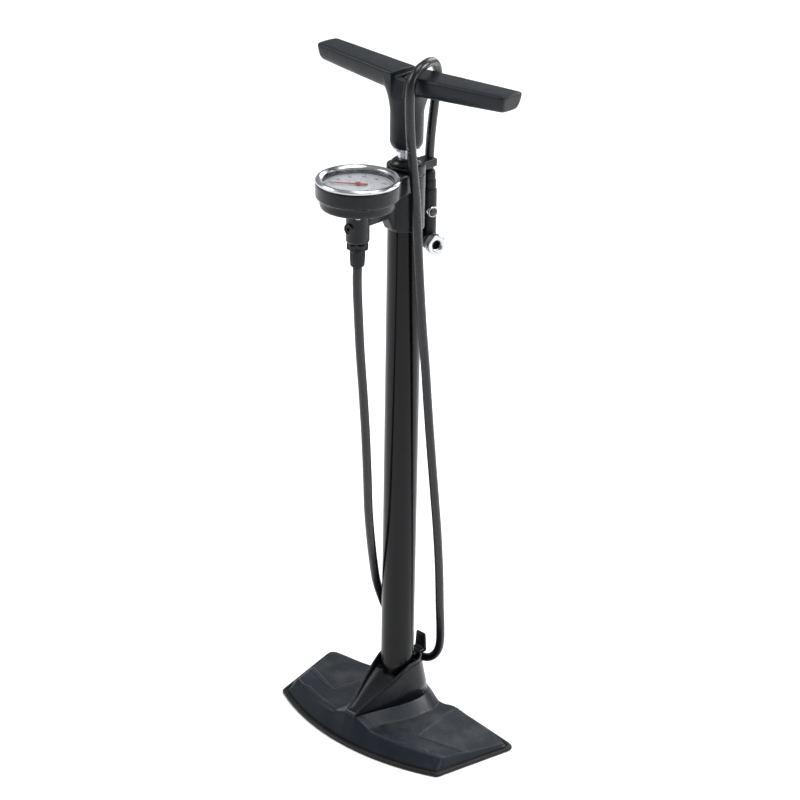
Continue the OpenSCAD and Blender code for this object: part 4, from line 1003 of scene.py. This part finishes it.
HOOK_HALF_W, HOOK_BACK_Y, HOOK_LOW_Z = 7.5, 38, 62
hook_lip = rounded_block("lip", (-HOOK_HALF_W, 18, HOOK_LOW_Z), (HOOK_HALF_W, HOOK_BACK_Y, 67), 2.2)
hook_tab = rounded_block("tab", (-HOOK_HALF_W, 33.2, HOOK_LOW_Z), (HOOK_HALF_W, HOOK_BACK_Y, 84), 2.0,
                         taper=1.2)
hook = melt("hose_hook", [hook_lip, hook_tab], 0.45, 6)
shroud = join("shroud_hood", [shroud_shell(), hook])
finish_piece(shroud, "pump_body", "shroud_plastic", "shroud")

# %% [markdown]
# ## Handle
# The handle is one moulding: two swept wings with a flat top and a rounded keel, a stem that
# flares up into them, and a notch between the wings. Wings and stem are lofts that run into each
# other. Rebuilt as one skin they get the soft concave flare of the real moulding, and the notch
# and the facet under it are cut before a second, finer rebuild that just breaks their edges.

# %% Handle wings and stem
handle_low, handle_high = node_box("handle")
HANDLE_HALF, HANDLE_TOP = handle_high[0], 697.5
HANDLE_W, TIP_W, HANDLE_H, TIP_H = 34, 27.5, 20, 17
SWEEP, TIP_RISE, WING_CENTRE_Y = 10, 2.5, 2
STEM_R, STEM_Z = 16, handle_low[2]


def wing_section(width, height):
    """y = -w/2 |cos a|^0.38, z = -1 - (h - 1) sin(a)^0.72 for the keel, and a slightly crowned top."""
    a = np.linspace(0, np.pi, 41)
    y = -width / 2 * np.sign(np.cos(a)) * np.abs(np.cos(a)) ** 0.38
    z = -1 - (height - 1) * np.sin(a) ** 0.72
    t = np.linspace(1, -1, 15)
    top = np.column_stack([t * (width / 2 - 0.9), 0.5 * (1 - t ** 2)])
    return np.vstack([np.column_stack([y, z]), top])


def wings():
    """The section at x = half span * s, swept back 10 |s|, raised 2.5 |s|, smaller at the tips."""
    stations = np.concatenate([[-1, -0.992, -0.975], np.linspace(-0.95, 0.95, 45), [0.975, 0.992, 1]])
    shrink = np.interp(np.abs(stations), [0, 0.975, 0.992, 1], [1, 1, 0.96, 0.86])
    rings = []
    for s, small in zip(stations, shrink):
        share = abs(s)
        width = (HANDLE_W + (TIP_W - HANDLE_W) * share) * small
        height = (HANDLE_H + (TIP_H - HANDLE_H) * share) * small
        section = wing_section(width, height)
        lean = 0.22 * smooth_step(share, 0.6, 1)
        drop = HANDLE_H * 0.4 * (1 - small)
        x = np.sign(s) * (HANDLE_HALF * share + lean * section[:, 1])
        rings.append(np.column_stack([x, WING_CENTRE_Y + SWEEP * share + section[:, 0],
                                      HANDLE_TOP + TIP_RISE * share - drop + section[:, 1]]))
    return loft("wings", rings)


def stem():
    """|x/a|^n + |y/b|^n = 1: round below, wider and squarer as the flare runs into the wings."""
    levels = [(0, -2.2), (1.2, -1.5), (5, 0), (12, 0), (24, 0), (34, 0)]
    levels += [(34 + k, 0) for k in np.linspace(3, 33, 12)]
    angle = np.linspace(0, 2 * np.pi, 96, endpoint=False)
    rings = []
    for rise, trim in levels:
        flare = np.clip((rise - 34) / 33, 0, 1)
        half_x = STEM_R + trim + 17 * flare ** 2.1
        half_y = STEM_R + trim - 0.4 * flare
        n = 2 + 1.6 * flare
        x = half_x * np.sign(np.cos(angle)) * np.abs(np.cos(angle)) ** (2 / n)
        y = half_y * np.sign(np.sin(angle)) * np.abs(np.sin(angle)) ** (2 / n)
        rings.append(np.column_stack([x, y + WING_CENTRE_Y * flare, np.full(96, STEM_Z + rise)]))
    return loft("stem", rings)


def prism(name, half_x_low, half_x_high, outline):
    """A solid with this (y, z) outline, its half width going from low to high with z."""
    outline = np.array(outline, float)
    share = (outline[:, 1] - outline[:, 1].min()) / np.ptp(outline[:, 1])
    half_x = half_x_low + (half_x_high - half_x_low) * share
    return loft(name, [np.column_stack([side * half_x, outline]) for side in (-1, 1)])


NOTCH_FLOOR, NOTCH_FRONT_Y = HANDLE_TOP - 5.1, -10.3
handle = melt("t_handle", [wings(), stem()], 0.8, 14)
notch = prism("notch", 7.4, 9.6, [(-40, NOTCH_FLOOR), (40, NOTCH_FLOOR), (40, HANDLE_TOP + 6),
                                  (-40, HANDLE_TOP + 6)])
facet = prism("facet", 6.5, 8.5, [(NOTCH_FRONT_Y, NOTCH_FLOOR + 2), (NOTCH_FRONT_Y, NOTCH_FLOOR),
                                  (-16.6, NOTCH_FLOOR - 26), (-40, NOTCH_FLOOR - 26),
                                  (-40, NOTCH_FLOOR + 2)])
handle = cut(handle, notch, facet)
handle = melt("t_handle", [handle], 0.62, 3)
bore = drum("bore", AXIS, rod_r + SLIP, STEM_Z - 1, rod_high[2], 96)
bolt_hole = drum("bolt_hole", AXIS, 5.5, HANDLE_TOP - 13, HANDLE_TOP + 5, 64)
bolt_shank = drum("bolt_shank", AXIS, 3.1, rod_high[2] - 1, HANDLE_TOP - 12, 48)
handle = cut(handle, bore, bolt_hole, bolt_shank)
finish_piece(handle, "handle_and_rod", "handle_plastic", "handle")

# %% [markdown]
# ## Gauge body
# The gauge body is one casting in the real pump: a collar round the barrel, a cup for the gauge
# and a neck and a web that join them. It is made as overlapping shells, rebuilt as one skin, so
# the neck runs into the cup and the collar in one curve.

# %% Gauge body
body_low, body_high = node_box("gauge_housing")
GAUGE = upright(0, GAUGE_Y)
CUP_R, TIER_R, CUP_TOP = body_high[0], 36, 606
COLLAR_R, COLLAR_BOTTOM, CAP_Z = barrel_r + 1.7, body_low[2], 600
TIER_Z, CUP_FLOOR, CUP_WALL = CUP_TOP - 15, CUP_TOP - 25, 2.2
ARM_LOW_Z = 560


def neck():
    """Rings across the neck: half width falls from the cup to the collar as a cosine, round-edged."""
    rings = []
    for y in np.linspace(GAUGE_Y + 18, -2, 14):
        share = (y - GAUGE_Y - 18) / (-2 - GAUGE_Y - 18)
        half = 25 + (COLLAR_R - 0.8 - 25) * (1 - math.cos(math.pi * share)) / 2
        low, high = CUP_FLOOR + 4, CUP_TOP - 0.6 - 5 * smooth_step(share, 0.55, 1)
        section = rounded_section(half, (high - low) / 2, 3)
        rings.append(np.column_stack([section[:, 0], np.full(len(section), y),
                                      (low + high) / 2 + section[:, 1]]))
    return loft("neck", rings)


def rounded_section(half_x, half_z, corner):
    """A rectangle with round corners: quarter arcs pushed out to its four corners."""
    angle = np.radians(np.arange(0, 360, 9) + 4.5)
    quadrant = np.column_stack([np.sign(np.cos(angle)), np.sign(np.sin(angle))])
    arc = np.column_stack([np.cos(angle), np.sin(angle)])
    return quadrant * (np.array([half_x, half_z]) - corner) + corner * arc


def web():
    """The web under the neck: a (y, z) triangle with a level top, 12 mm thick."""
    return prism("web", 6, 6, [(-14, COLLAR_BOTTOM + 3), (-14, CUP_FLOOR + 6), (GAUGE_Y + 26, CUP_FLOOR + 6),
                               (GAUGE_Y + 26, CUP_FLOOR - 1), (-22, COLLAR_BOTTOM + 3)])


collar = soft_drum("collar", AXIS, COLLAR_R, COLLAR_BOTTOM, CAP_Z, 0.8)
cup = revolve("cup", soften([(0, CUP_FLOOR), (TIER_R - 1, CUP_FLOOR), (TIER_R, CUP_FLOOR + 2),
                             (TIER_R, TIER_Z - 1), (CUP_R, TIER_Z + 0.6), (CUP_R, CUP_TOP),
                             (0, CUP_TOP)], 0.8), GAUGE, 160)
arm = rounded_block("arm", (-6, GAUGE_Y + 9, ARM_LOW_Z), (6, -14, CUP_FLOOR + 2), 1.5)
gauge_body = melt("gauge_body", [collar, cup, neck(), web(), arm], 0.75, 10)
gauge_body = cut(gauge_body,
                 drum("cavity", GAUGE, TIER_R - CUP_WALL, CUP_FLOOR + 3, CUP_TOP + 9, 128),
                 drum("seat", GAUGE, CUP_R - CUP_WALL, CUP_TOP - 3, CUP_TOP + 9, 128),
                 drum("barrel_bore", AXIS, barrel_r + SLIP, COLLAR_BOTTOM - 1, barrel_high[2], 128),
                 drum("guide_bore", AXIS, GUIDE_R + SLIP, barrel_high[2] - 1, CUP_TOP + 9, 128))
finish_piece(gauge_body, "pump_body", "housing_plastic", "gauge_housing")

# %% Top cap with the dock for the head
DOCK_Y, DOCK_Z = 32, 598.5
DOCK_GAP, FINGER_W = HOSE_DIAMETER / 2 + 0.3, 3


def top_cap():
    """A disc, a forked shelf behind it and a small bracket under the shelf, as one skin."""
    disc = soft_drum("disc", AXIS, COLLAR_R, CAP_Z, CAP_TOP, 0.9)
    half = DOCK_GAP + FINGER_W
    shelf = rounded_block("shelf", (-half, 8, DOCK_Z), (half, DOCK_Y + 3.5, CAP_TOP - 1), 1.2)
    cap = melt("top_cap_moulding", [disc, shelf], 0.42, 4)
    slot = rounded_block("slot", (-DOCK_GAP, DOCK_Y - DOCK_GAP, DOCK_Z - 3),
                         (DOCK_GAP, DOCK_Y + 20, CAP_TOP + 3), DOCK_GAP)
    under = drum("under", AXIS, COLLAR_R + 0.1, DOCK_Z - 3, CAP_Z, 128)
    return cut(cap, slot, under, drum("bore", AXIS, GUIDE_R + SLIP, CAP_Z - 9, CAP_TOP + 3, 128))


finish_piece(top_cap(), "pump_body", "housing_plastic", "top_cap")

# %% [markdown]
# ## Bezel and dial
# The bezel is a bright rolled ring. Its section is turned as a closed loop, with a round outer
# shoulder and a slope down to the lens. The dial is an enamelled disc with an outer scale from 0
# to 160 and an inner one from 0 to 11, each tick a thin printed bar and each number raised a hair.

# %% Bezel
BEZEL_OPEN = 33.5           # radius of the opening


def bezel_profile():
    """Seat inside the cup, outer shoulder, rolled top and a slope to the opening."""
    seat, top = bezel_low[2], bezel_high[2]
    return soften_loop([(BEZEL_OPEN, CUP_TOP + 0.6), (CUP_R - 4.2, CUP_TOP + 0.6), (CUP_R - 4.2, seat),
                        (CUP_R - 2.25, seat), (CUP_R - 2.25, CUP_TOP), (CUP_R, CUP_TOP),
                        (CUP_R, top - 1.5), (CUP_R - 1.6, top), (BEZEL_OPEN + 3, top),
                        (BEZEL_OPEN + 1.2, top - 0.9), (BEZEL_OPEN, top - 1.9)], 0.45)


bezel = revolve("rolled_bezel", bezel_profile(), GAUGE, 192, ring=True)
finish_piece(bezel, "pump_body", "chrome", "bezel")

# %% Dial scale
DIAL_TOP = node_box("dial")[1][2]
ZERO_ANGLE, SCALE_SWEEP = 216, 252      # degrees


def scale_angle(share):
    """Clockwise from the zero mark as the share of the scale goes from 0 to 1."""
    return np.radians(ZERO_ANGLE - SCALE_SWEEP * np.asarray(share, float))


def scale_ticks(name, shares, inner, outer, half_width):
    """One thin bar per share: corners at +-half_width across and inner or outer along."""
    angle = scale_angle(shares)[:, None, None]
    along = np.array([inner, outer, outer, inner])[None, None, :] * np.ones((1, 2, 1))
    side = np.array([-1, -1, 1, 1])[None, None, :] * np.broadcast_to(
        np.reshape(half_width, (-1, 1, 1)), (len(shares), 2, 1))
    x = along * np.cos(angle) - side * np.sin(angle)
    y = along * np.sin(angle) + side * np.cos(angle) + GAUGE_Y
    z = np.broadcast_to(np.array([DIAL_TOP - 0.02, DIAL_TOP + 0.06])[None, :, None], x.shape)
    points = np.stack([x, y, z], axis=-1).reshape(-1, 3)
    block = np.array([[0, 1, 2, 3], [7, 6, 5, 4], [0, 4, 5, 1], [1, 5, 6, 2], [2, 6, 7, 3],
                      [3, 7, 4, 0]])
    faces = (block[None] + 8 * np.arange(len(shares))[:, None, None]).reshape(-1, 4)
    return build_mesh(name, points * MM, faces.tolist(), smooth=False)


def number_mesh(label, height, radius, share):
    """A number as a thin mesh, upright on the dial at its place on the scale."""
    curve = bpy.data.curves.new("number", "FONT")
    curve.body, curve.size = label, height * MM
    curve.align_x, curve.align_y, curve.extrude = "CENTER", "CENTER", 0.04 * MM
    holder = bpy.data.objects.new("number", curve)
    scene.collection.objects.link(holder)
    bpy.context.view_layer.update()
    graph = bpy.context.evaluated_depsgraph_get()
    mesh = bpy.data.meshes.new_from_object(holder.evaluated_get(graph))
    bpy.data.objects.remove(holder)
    angle = float(scale_angle(share))
    mesh.transform(Matrix.Translation(Vector((radius * math.cos(angle), GAUGE_Y + radius * math.sin(angle),
                                              DIAL_TOP + 0.04)) * MM))
    piece = bpy.data.objects.new("number", mesh)
    scene.collection.objects.link(piece)
    return piece


print("scale helpers ready")

# %% Scales on the dial
outer_steps = np.arange(0, 161, 4) / 160
outer_widths = np.where(np.arange(0, 161, 4) % 20 == 0, 0.32, 0.13)
outer_ticks = scale_ticks("ticks", outer_steps, 28.4, 31.4, outer_widths)
outer_arc = scale_ticks("arc", np.linspace(0, 1, 180), 31.4, 31.8, 0.4)
outer_numbers = [number_mesh(str(n), 4.6, 24.6, n / 160) for n in range(0, 161, 20)]
print_black = join("scale_print", [outer_ticks, outer_arc, *outer_numbers])
inner_ticks = scale_ticks("ticks", np.arange(0, 12) / 11, 17.6, 19.4, 0.2)
inner_numbers = [number_mesh(str(n), 3.0, 15, n / 11) for n in range(0, 12)]
print_red = join("inner_scale_print", [inner_ticks, *inner_numbers])
for piece, ink, like in ((print_black, ink_black, "dial_white"), (print_red, ink_red, "needle_red")):
    piece.data.materials.clear()
    piece.data.materials.append(ink)
    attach(piece, "pump_body")
    print(piece.name, len(piece.data.polygons), "faces")

# %% [markdown]
# ## Outlet, nut and ferrule
# Air leaves through a body under the gauge, with a plugged side port. The hose is held by a nut
# with round finger hollows and by a ribbed ferrule. Hollows and ribs are written into the radius
# of a turned surface, which is lighter and smoother than cutting them.

# %% Outlet body
OUTLET_R, OUTLET_BOTTOM = 11.3, node_box("outlet_body")[0][2]
PLUG_Z = OUTLET_BOTTOM + 16


def outlet():
    """A barrel-shaped body and a round boss towards the front, as one skin with a bored boss."""
    body = revolve("body", soften([(0, OUTLET_BOTTOM), (OUTLET_R - 2, OUTLET_BOTTOM),
                                   (OUTLET_R, OUTLET_BOTTOM + 2.4), (OUTLET_R, CUP_FLOOR),
                                   (0, CUP_FLOOR)], 0.8), GAUGE, 96)
    port = level_axis(0, GAUGE_Y, PLUG_Z, -90)
    boss = soft_drum("boss", port, 5.6, 0, 13, 0.7, 64)
    whole = melt("outlet_moulding", [body, boss], 0.42, 5)
    return cut(whole, drum("recess", port, 4.5, 10.5, 16), drum("seat", port, 3.65, 4, 12),
               drum("bore", GAUGE, 3.05, OUTLET_BOTTOM - 1, OUTLET_BOTTOM + 26))


finish_piece(outlet(), "pump_body", "housing_plastic", "outlet_body")

# %% Nut and ferrule
nut_low, nut_high = node_box("hose_nut")
ferrule_low, ferrule_high = node_box("hose_ferrule")
NUT_R = 10.2


def nut_hollows(radius, height, angle):
    """Six round hollows: r falls by 2.2 sqrt(1 - (d / 3.9)^2) where d is the distance to a centre."""
    nearest = (angle + math.radians(20)) % (math.pi / 3) - math.pi / 6
    d = np.hypot(nearest * NUT_R, height - (nut_low[2] + nut_high[2]) / 2 + 0.3)
    hollow = 2.2 * np.sqrt(np.maximum(1 - (d / 3.9) ** 2, 0))
    return np.where(radius > 8.5, radius - hollow, radius)


nut_side = [(NUT_R, z) for z in np.linspace(nut_low[2] + 0.9, nut_high[2] - 0.7, 26)]
nut = revolve("hose_nut_moulded", np.vstack([[(3.1, nut_low[2]), (8.6, nut_low[2]), (9.4, nut_low[2] + 0.2)],
                                             nut_side, [(9.6, nut_high[2] - 0.1), (8.6, nut_high[2]),
                                                        (3.1, nut_high[2])]]),
              GAUGE, 216, ring=True, ripple=nut_hollows)
finish_piece(nut, "pump_body", "head_plastic", "hose_nut")


def ferrule_ribs(radius, height, angle):
    """Eighteen rounded ribs: r + 0.55 (|cos 9a|^0.6 - 1), fading out at both ends."""
    rib = np.abs(np.cos(9 * angle)) ** 0.6 - 1
    fade = smooth_step(height, ferrule_low[2] + 1, ferrule_low[2] + 3)
    fade = fade * (1 - smooth_step(height, ferrule_high[2] - 3, ferrule_high[2] - 1.6))
    return np.where(radius > 5, radius + 0.55 * rib * fade, radius)


ferrule_r = ferrule_high[0]
ferrule_rise = ferrule_high[2] - ferrule_low[2] - 1.6
ferrule_side = [(ferrule_r - 0.7 * (1 - t) ** 2, ferrule_low[2] + 1 + ferrule_rise * t)
                for t in np.linspace(0, 1, 24)]
ferrule = revolve("ribbed_ferrule",
                  np.vstack([[(4.4, ferrule_low[2] + 1.2), (4.7, ferrule_low[2] + 0.1),
                              (5.9, ferrule_low[2])], ferrule_side,
                             [(ferrule_r - 0.6, ferrule_high[2]), (3.1, ferrule_high[2]),
                              (3.1, ferrule_high[2] - 1)]]),
                  GAUGE, 288, ring=True, ripple=ferrule_ribs)
finish_piece(ferrule, "pump_body", "head_plastic", "hose_ferrule")

# %% [markdown]
# ## Head
# The head hangs in the dock: a cap where the hose goes in, a ringed sleeve, a body with a release
# button, and a nozzle with a plated, knurled collar. The body and its cross-piece are one skin,
# and the collar's knurl is again written into its radius.

# %% Head cap, sleeve and body
HEAD = upright(0, DOCK_Y)
NOZZLE_TURN = -16.5         # degrees from +X
cap_low, cap_high = node_box("head_cap")
sleeve_low, sleeve_high = node_box("head_sleeve")
HEAD_R = 8.1
NOZZLE_Z, BUTTON_Z = 523, 554
nozzle = level_axis(0, DOCK_Y, NOZZLE_Z, NOZZLE_TURN)
button = level_axis(0, DOCK_Y, BUTTON_Z, NOZZLE_TURN)
cap_r, sleeve_r = cap_high[0], sleeve_high[0]
head_cap = revolve("head_cap_turned", soften(
    [(0, cap_low[2]), (cap_r, cap_low[2]), (cap_r, cap_high[2] - 2.4), (cap_r - 1.4, cap_high[2]),
     (0, cap_high[2])], 0.9), HEAD, 96)
finish_piece(head_cap, "pump_body", "head_plastic", "head_cap")
grooves = [(sleeve_r - drop, sleeve_low[2] + rise) for rise, drop in
           ((0, 0.3), (0.4, 0), (1.2, 0), (1.5, 0.6), (2.0, 0.6), (2.3, 0), (7.6, 0), (7.9, 0.45),
            (8.3, 0.45), (8.6, 0), (9.1, 0.1), (9.5, 0.6))]
head_sleeve = revolve("head_sleeve_turned", soften([(0, sleeve_low[2]), *grooves, (0, sleeve_high[2])],
                                                   0.2), HEAD, 96)
finish_piece(head_sleeve, "pump_body", "head_plastic", "head_sleeve")


def head_body():
    """An upright barrel, a level cross-piece and the stub for the collar, as one skin, then bored."""
    upright_part = soft_drum("upright", HEAD, HEAD_R, NOZZLE_Z, sleeve_low[2], 0.8, 96)
    cross = revolve("cross", soften([(0, -10.5), (7.2, -10.5), (8.6, -8.8), (8.6, 8.3), (0, 8.3)], 0.8),
                    nozzle, 96)
    body = melt("head_moulding", [upright_part, cross], 0.4, 5)
    stub = revolve("stub", [(4.65, 4), (6, 4), (6, 12.9), (4.65, 12.9)], nozzle, 64, ring=True)
    body = cut(body, drum("ring_seat", button, 5.55, 4, 20), drum("bore", button, 4.16, 1, 12),
               drum("nozzle_bore", nozzle, 4.65, 0, 20))
    return join("head_moulding", [body, stub])


finish_piece(head_body(), "pump_body", "head_plastic", "head_body")

# %% Button and its ring
head_chrome = metal("head_plating", (0.5, 0.51, 0.53), 0.16, (0, DOCK_Y), 1200.0, 0.002)
button_ring = revolve("button_bezel", soften_loop([(4.16, 4), (5.5, 4), (5.5, HEAD_R + 0.7),
                                                   (4.9, HEAD_R + 1.7), (4.16, HEAD_R + 1.7)], 0.35),
                      button, 96, ring=True)
finish_piece(button_ring, "pump_body", "chrome", "button_ring", finish=head_chrome)
dome = [(4.1 * math.cos(a), HEAD_R + 1.1 + 1.9 * math.sin(a)) for a in np.linspace(0, math.pi / 2, 20)]
release = revolve("release_dome", [(0, 3.2), (3.8, 3.2), (4.1, 3.6), (4.1, HEAD_R), *dome], button, 96)
finish_piece(release, "button", "button_black", "release_button")

# %% Nozzle ring and knurled collar
COLLAR_FROM, COLLAR_END, KNURL_R, NOZZLE_HOLE_R = 10.9, 18.7, 10, 4.1
nozzle_ring = revolve("nozzle_band", tube_profile(7.4, 6.05, 8.3, 10.6, 0.4), nozzle, 96, ring=True)
finish_piece(nozzle_ring, "pump_body", "chrome", "nozzle_ring", finish=head_chrome)


def knurl(radius, depth, angle):
    """Thirty grip ribs: r + 0.5 (|cos 15a|^0.5 - 1) on the band between the collar's two edges."""
    band = smooth_step(depth, COLLAR_FROM + 1.0, COLLAR_FROM + 1.6)
    band = band * (1 - smooth_step(depth, COLLAR_END - 2.2, COLLAR_END - 1.6))
    rib = np.abs(np.cos(15 * angle)) ** 0.5 - 1
    return np.where(radius > 9, radius + 0.5 * rib * band, radius)


collar_side = [(KNURL_R, d) for d in np.linspace(COLLAR_FROM + 0.9, COLLAR_END - 1.1, 18)]
collar_wall = [(6.06, COLLAR_FROM), (KNURL_R - 1, COLLAR_FROM), (KNURL_R - 0.3, COLLAR_FROM + 0.3),
               *collar_side, (KNURL_R - 0.3, COLLAR_END - 0.4), (KNURL_R - 1.2, COLLAR_END),
               (NOZZLE_HOLE_R + 2.2, COLLAR_END - 0.05), (NOZZLE_HOLE_R + 1.8, COLLAR_END - 0.3),
               (NOZZLE_HOLE_R, COLLAR_END - 1), (NOZZLE_HOLE_R, 13.2), (6.06, 13.2)]
collar_piece = revolve("knurled_collar", collar_wall, nozzle, 300, ring=True, ripple=knurl)
finish_piece(collar_piece, "nozzle", "chrome", "nozzle_collar", finish=head_chrome)

# %% The pieces of the head, gathered in one list
head_pieces = [bpy.data.objects[name] for name in
               ("head_cap_turned", "head_sleeve_turned", "head_moulding", "button_bezel",
                "release_dome", "nozzle_band", "knurled_collar")]
head_pieces += [frame["nodes"][name] for name in ("valve_grommet", "depressor_pin", "button_spring")]
print("hose declared with", len(head_pieces), "pieces on it")

# %% [markdown]
# ## Floor and lamps
# The pump stands on a plain pale floor that runs far enough to meet the bright sky. Large soft
# lamps give the long clean highlights that show a gloss tube and a moulding's edges. A wide sun
# lights the whole floor evenly, and the bright sky keeps the background almost white.

# %% Floor
def floor_sheet(half_side, cells):
    """A flat square grid in the plane z = 0."""
    line = np.linspace(-half_side, half_side, cells + 1)
    x, y = np.meshgrid(line, line, indexing="ij")
    points = np.stack([x, y, np.zeros_like(x)], axis=-1).reshape(-1, 3)
    return build_mesh("studio_floor", points, grid_faces(cells + 1, cells + 1), smooth=False)


def floor_paint():
    """Matt white paint with a slow, faint change of tone."""
    material, tree, shader = start_material("floor_paint")
    cloud = ramp(tree, noise(tree, object_place(tree), 1.5, 2.0), 0.3, 0.7)
    wire(tree, shader, Roughness=0.6, Specular_IOR_Level=0.25,
         Base_Color=blend_colour(tree, cloud, (0.93, 0.93, 0.935), (0.91, 0.91, 0.915)))
    return material


floor = floor_sheet(8, 8)
floor.data.materials.append(floor_paint())

# %% Lamps and sky
def soft_lamp(name, place, target, size, watts):
    """A square area lamp at place that faces target."""
    data = bpy.data.lights.new(name, "AREA")
    data.shape, data.size, data.energy = "SQUARE", size, watts
    lamp = bpy.data.objects.new(name, data)
    lamp.location = place
    lamp.rotation_euler = (Vector(target) - Vector(place)).to_track_quat("-Z", "Y").to_euler()
    scene.collection.objects.link(lamp)


MIDDLE = (0, 0, 0.35)
soft_lamp("key_left", (-1.9, -1.5, 2.2), MIDDLE, 1.6, 48)
soft_lamp("fill_right", (2.4, 0.2, 1.2), MIDDLE, 1.2, 16)
soft_lamp("rim_back", (-0.6, 2.6, 1.6), MIDDLE, 1.4, 26)
soft_lamp("back_right", (1.5, 2.1, 1.7), MIDDLE, 0.9, 50)
overhead = bpy.data.lights.new("overhead", "SUN")
overhead.energy, overhead.angle = 2.2, math.radians(40)     # the same brightness all over the floor
overhead_lamp = bpy.data.objects.new("overhead", overhead)
overhead_lamp.rotation_euler = (math.radians(-8), math.radians(6), 0)
scene.collection.objects.link(overhead_lamp)
sky = bpy.data.worlds.new("studio_sky")
sky.use_nodes = True
sky.node_tree.nodes["Background"].inputs["Color"].default_value = (0.97, 0.98, 1.0, 1)
SKY_LIGHT, SKY_SEEN = 0.4, 0.97     # the sky's strength as a light, and as the camera sees it
looked_at = sky.node_tree.nodes.new("ShaderNodeLightPath").outputs["Is Camera Ray"]
strength = add_node(sky.node_tree, "ShaderNodeMapRange", None, Value=looked_at, To_Min=SKY_LIGHT,
                    To_Max=SKY_SEEN)
wire(sky.node_tree, sky.node_tree.nodes["Background"], Strength=strength.outputs["Result"])
scene.world = sky
scene.view_settings.view_transform = "Standard"      # plain contrast keeps black gloss black
print("floor, five lamps and a sky")
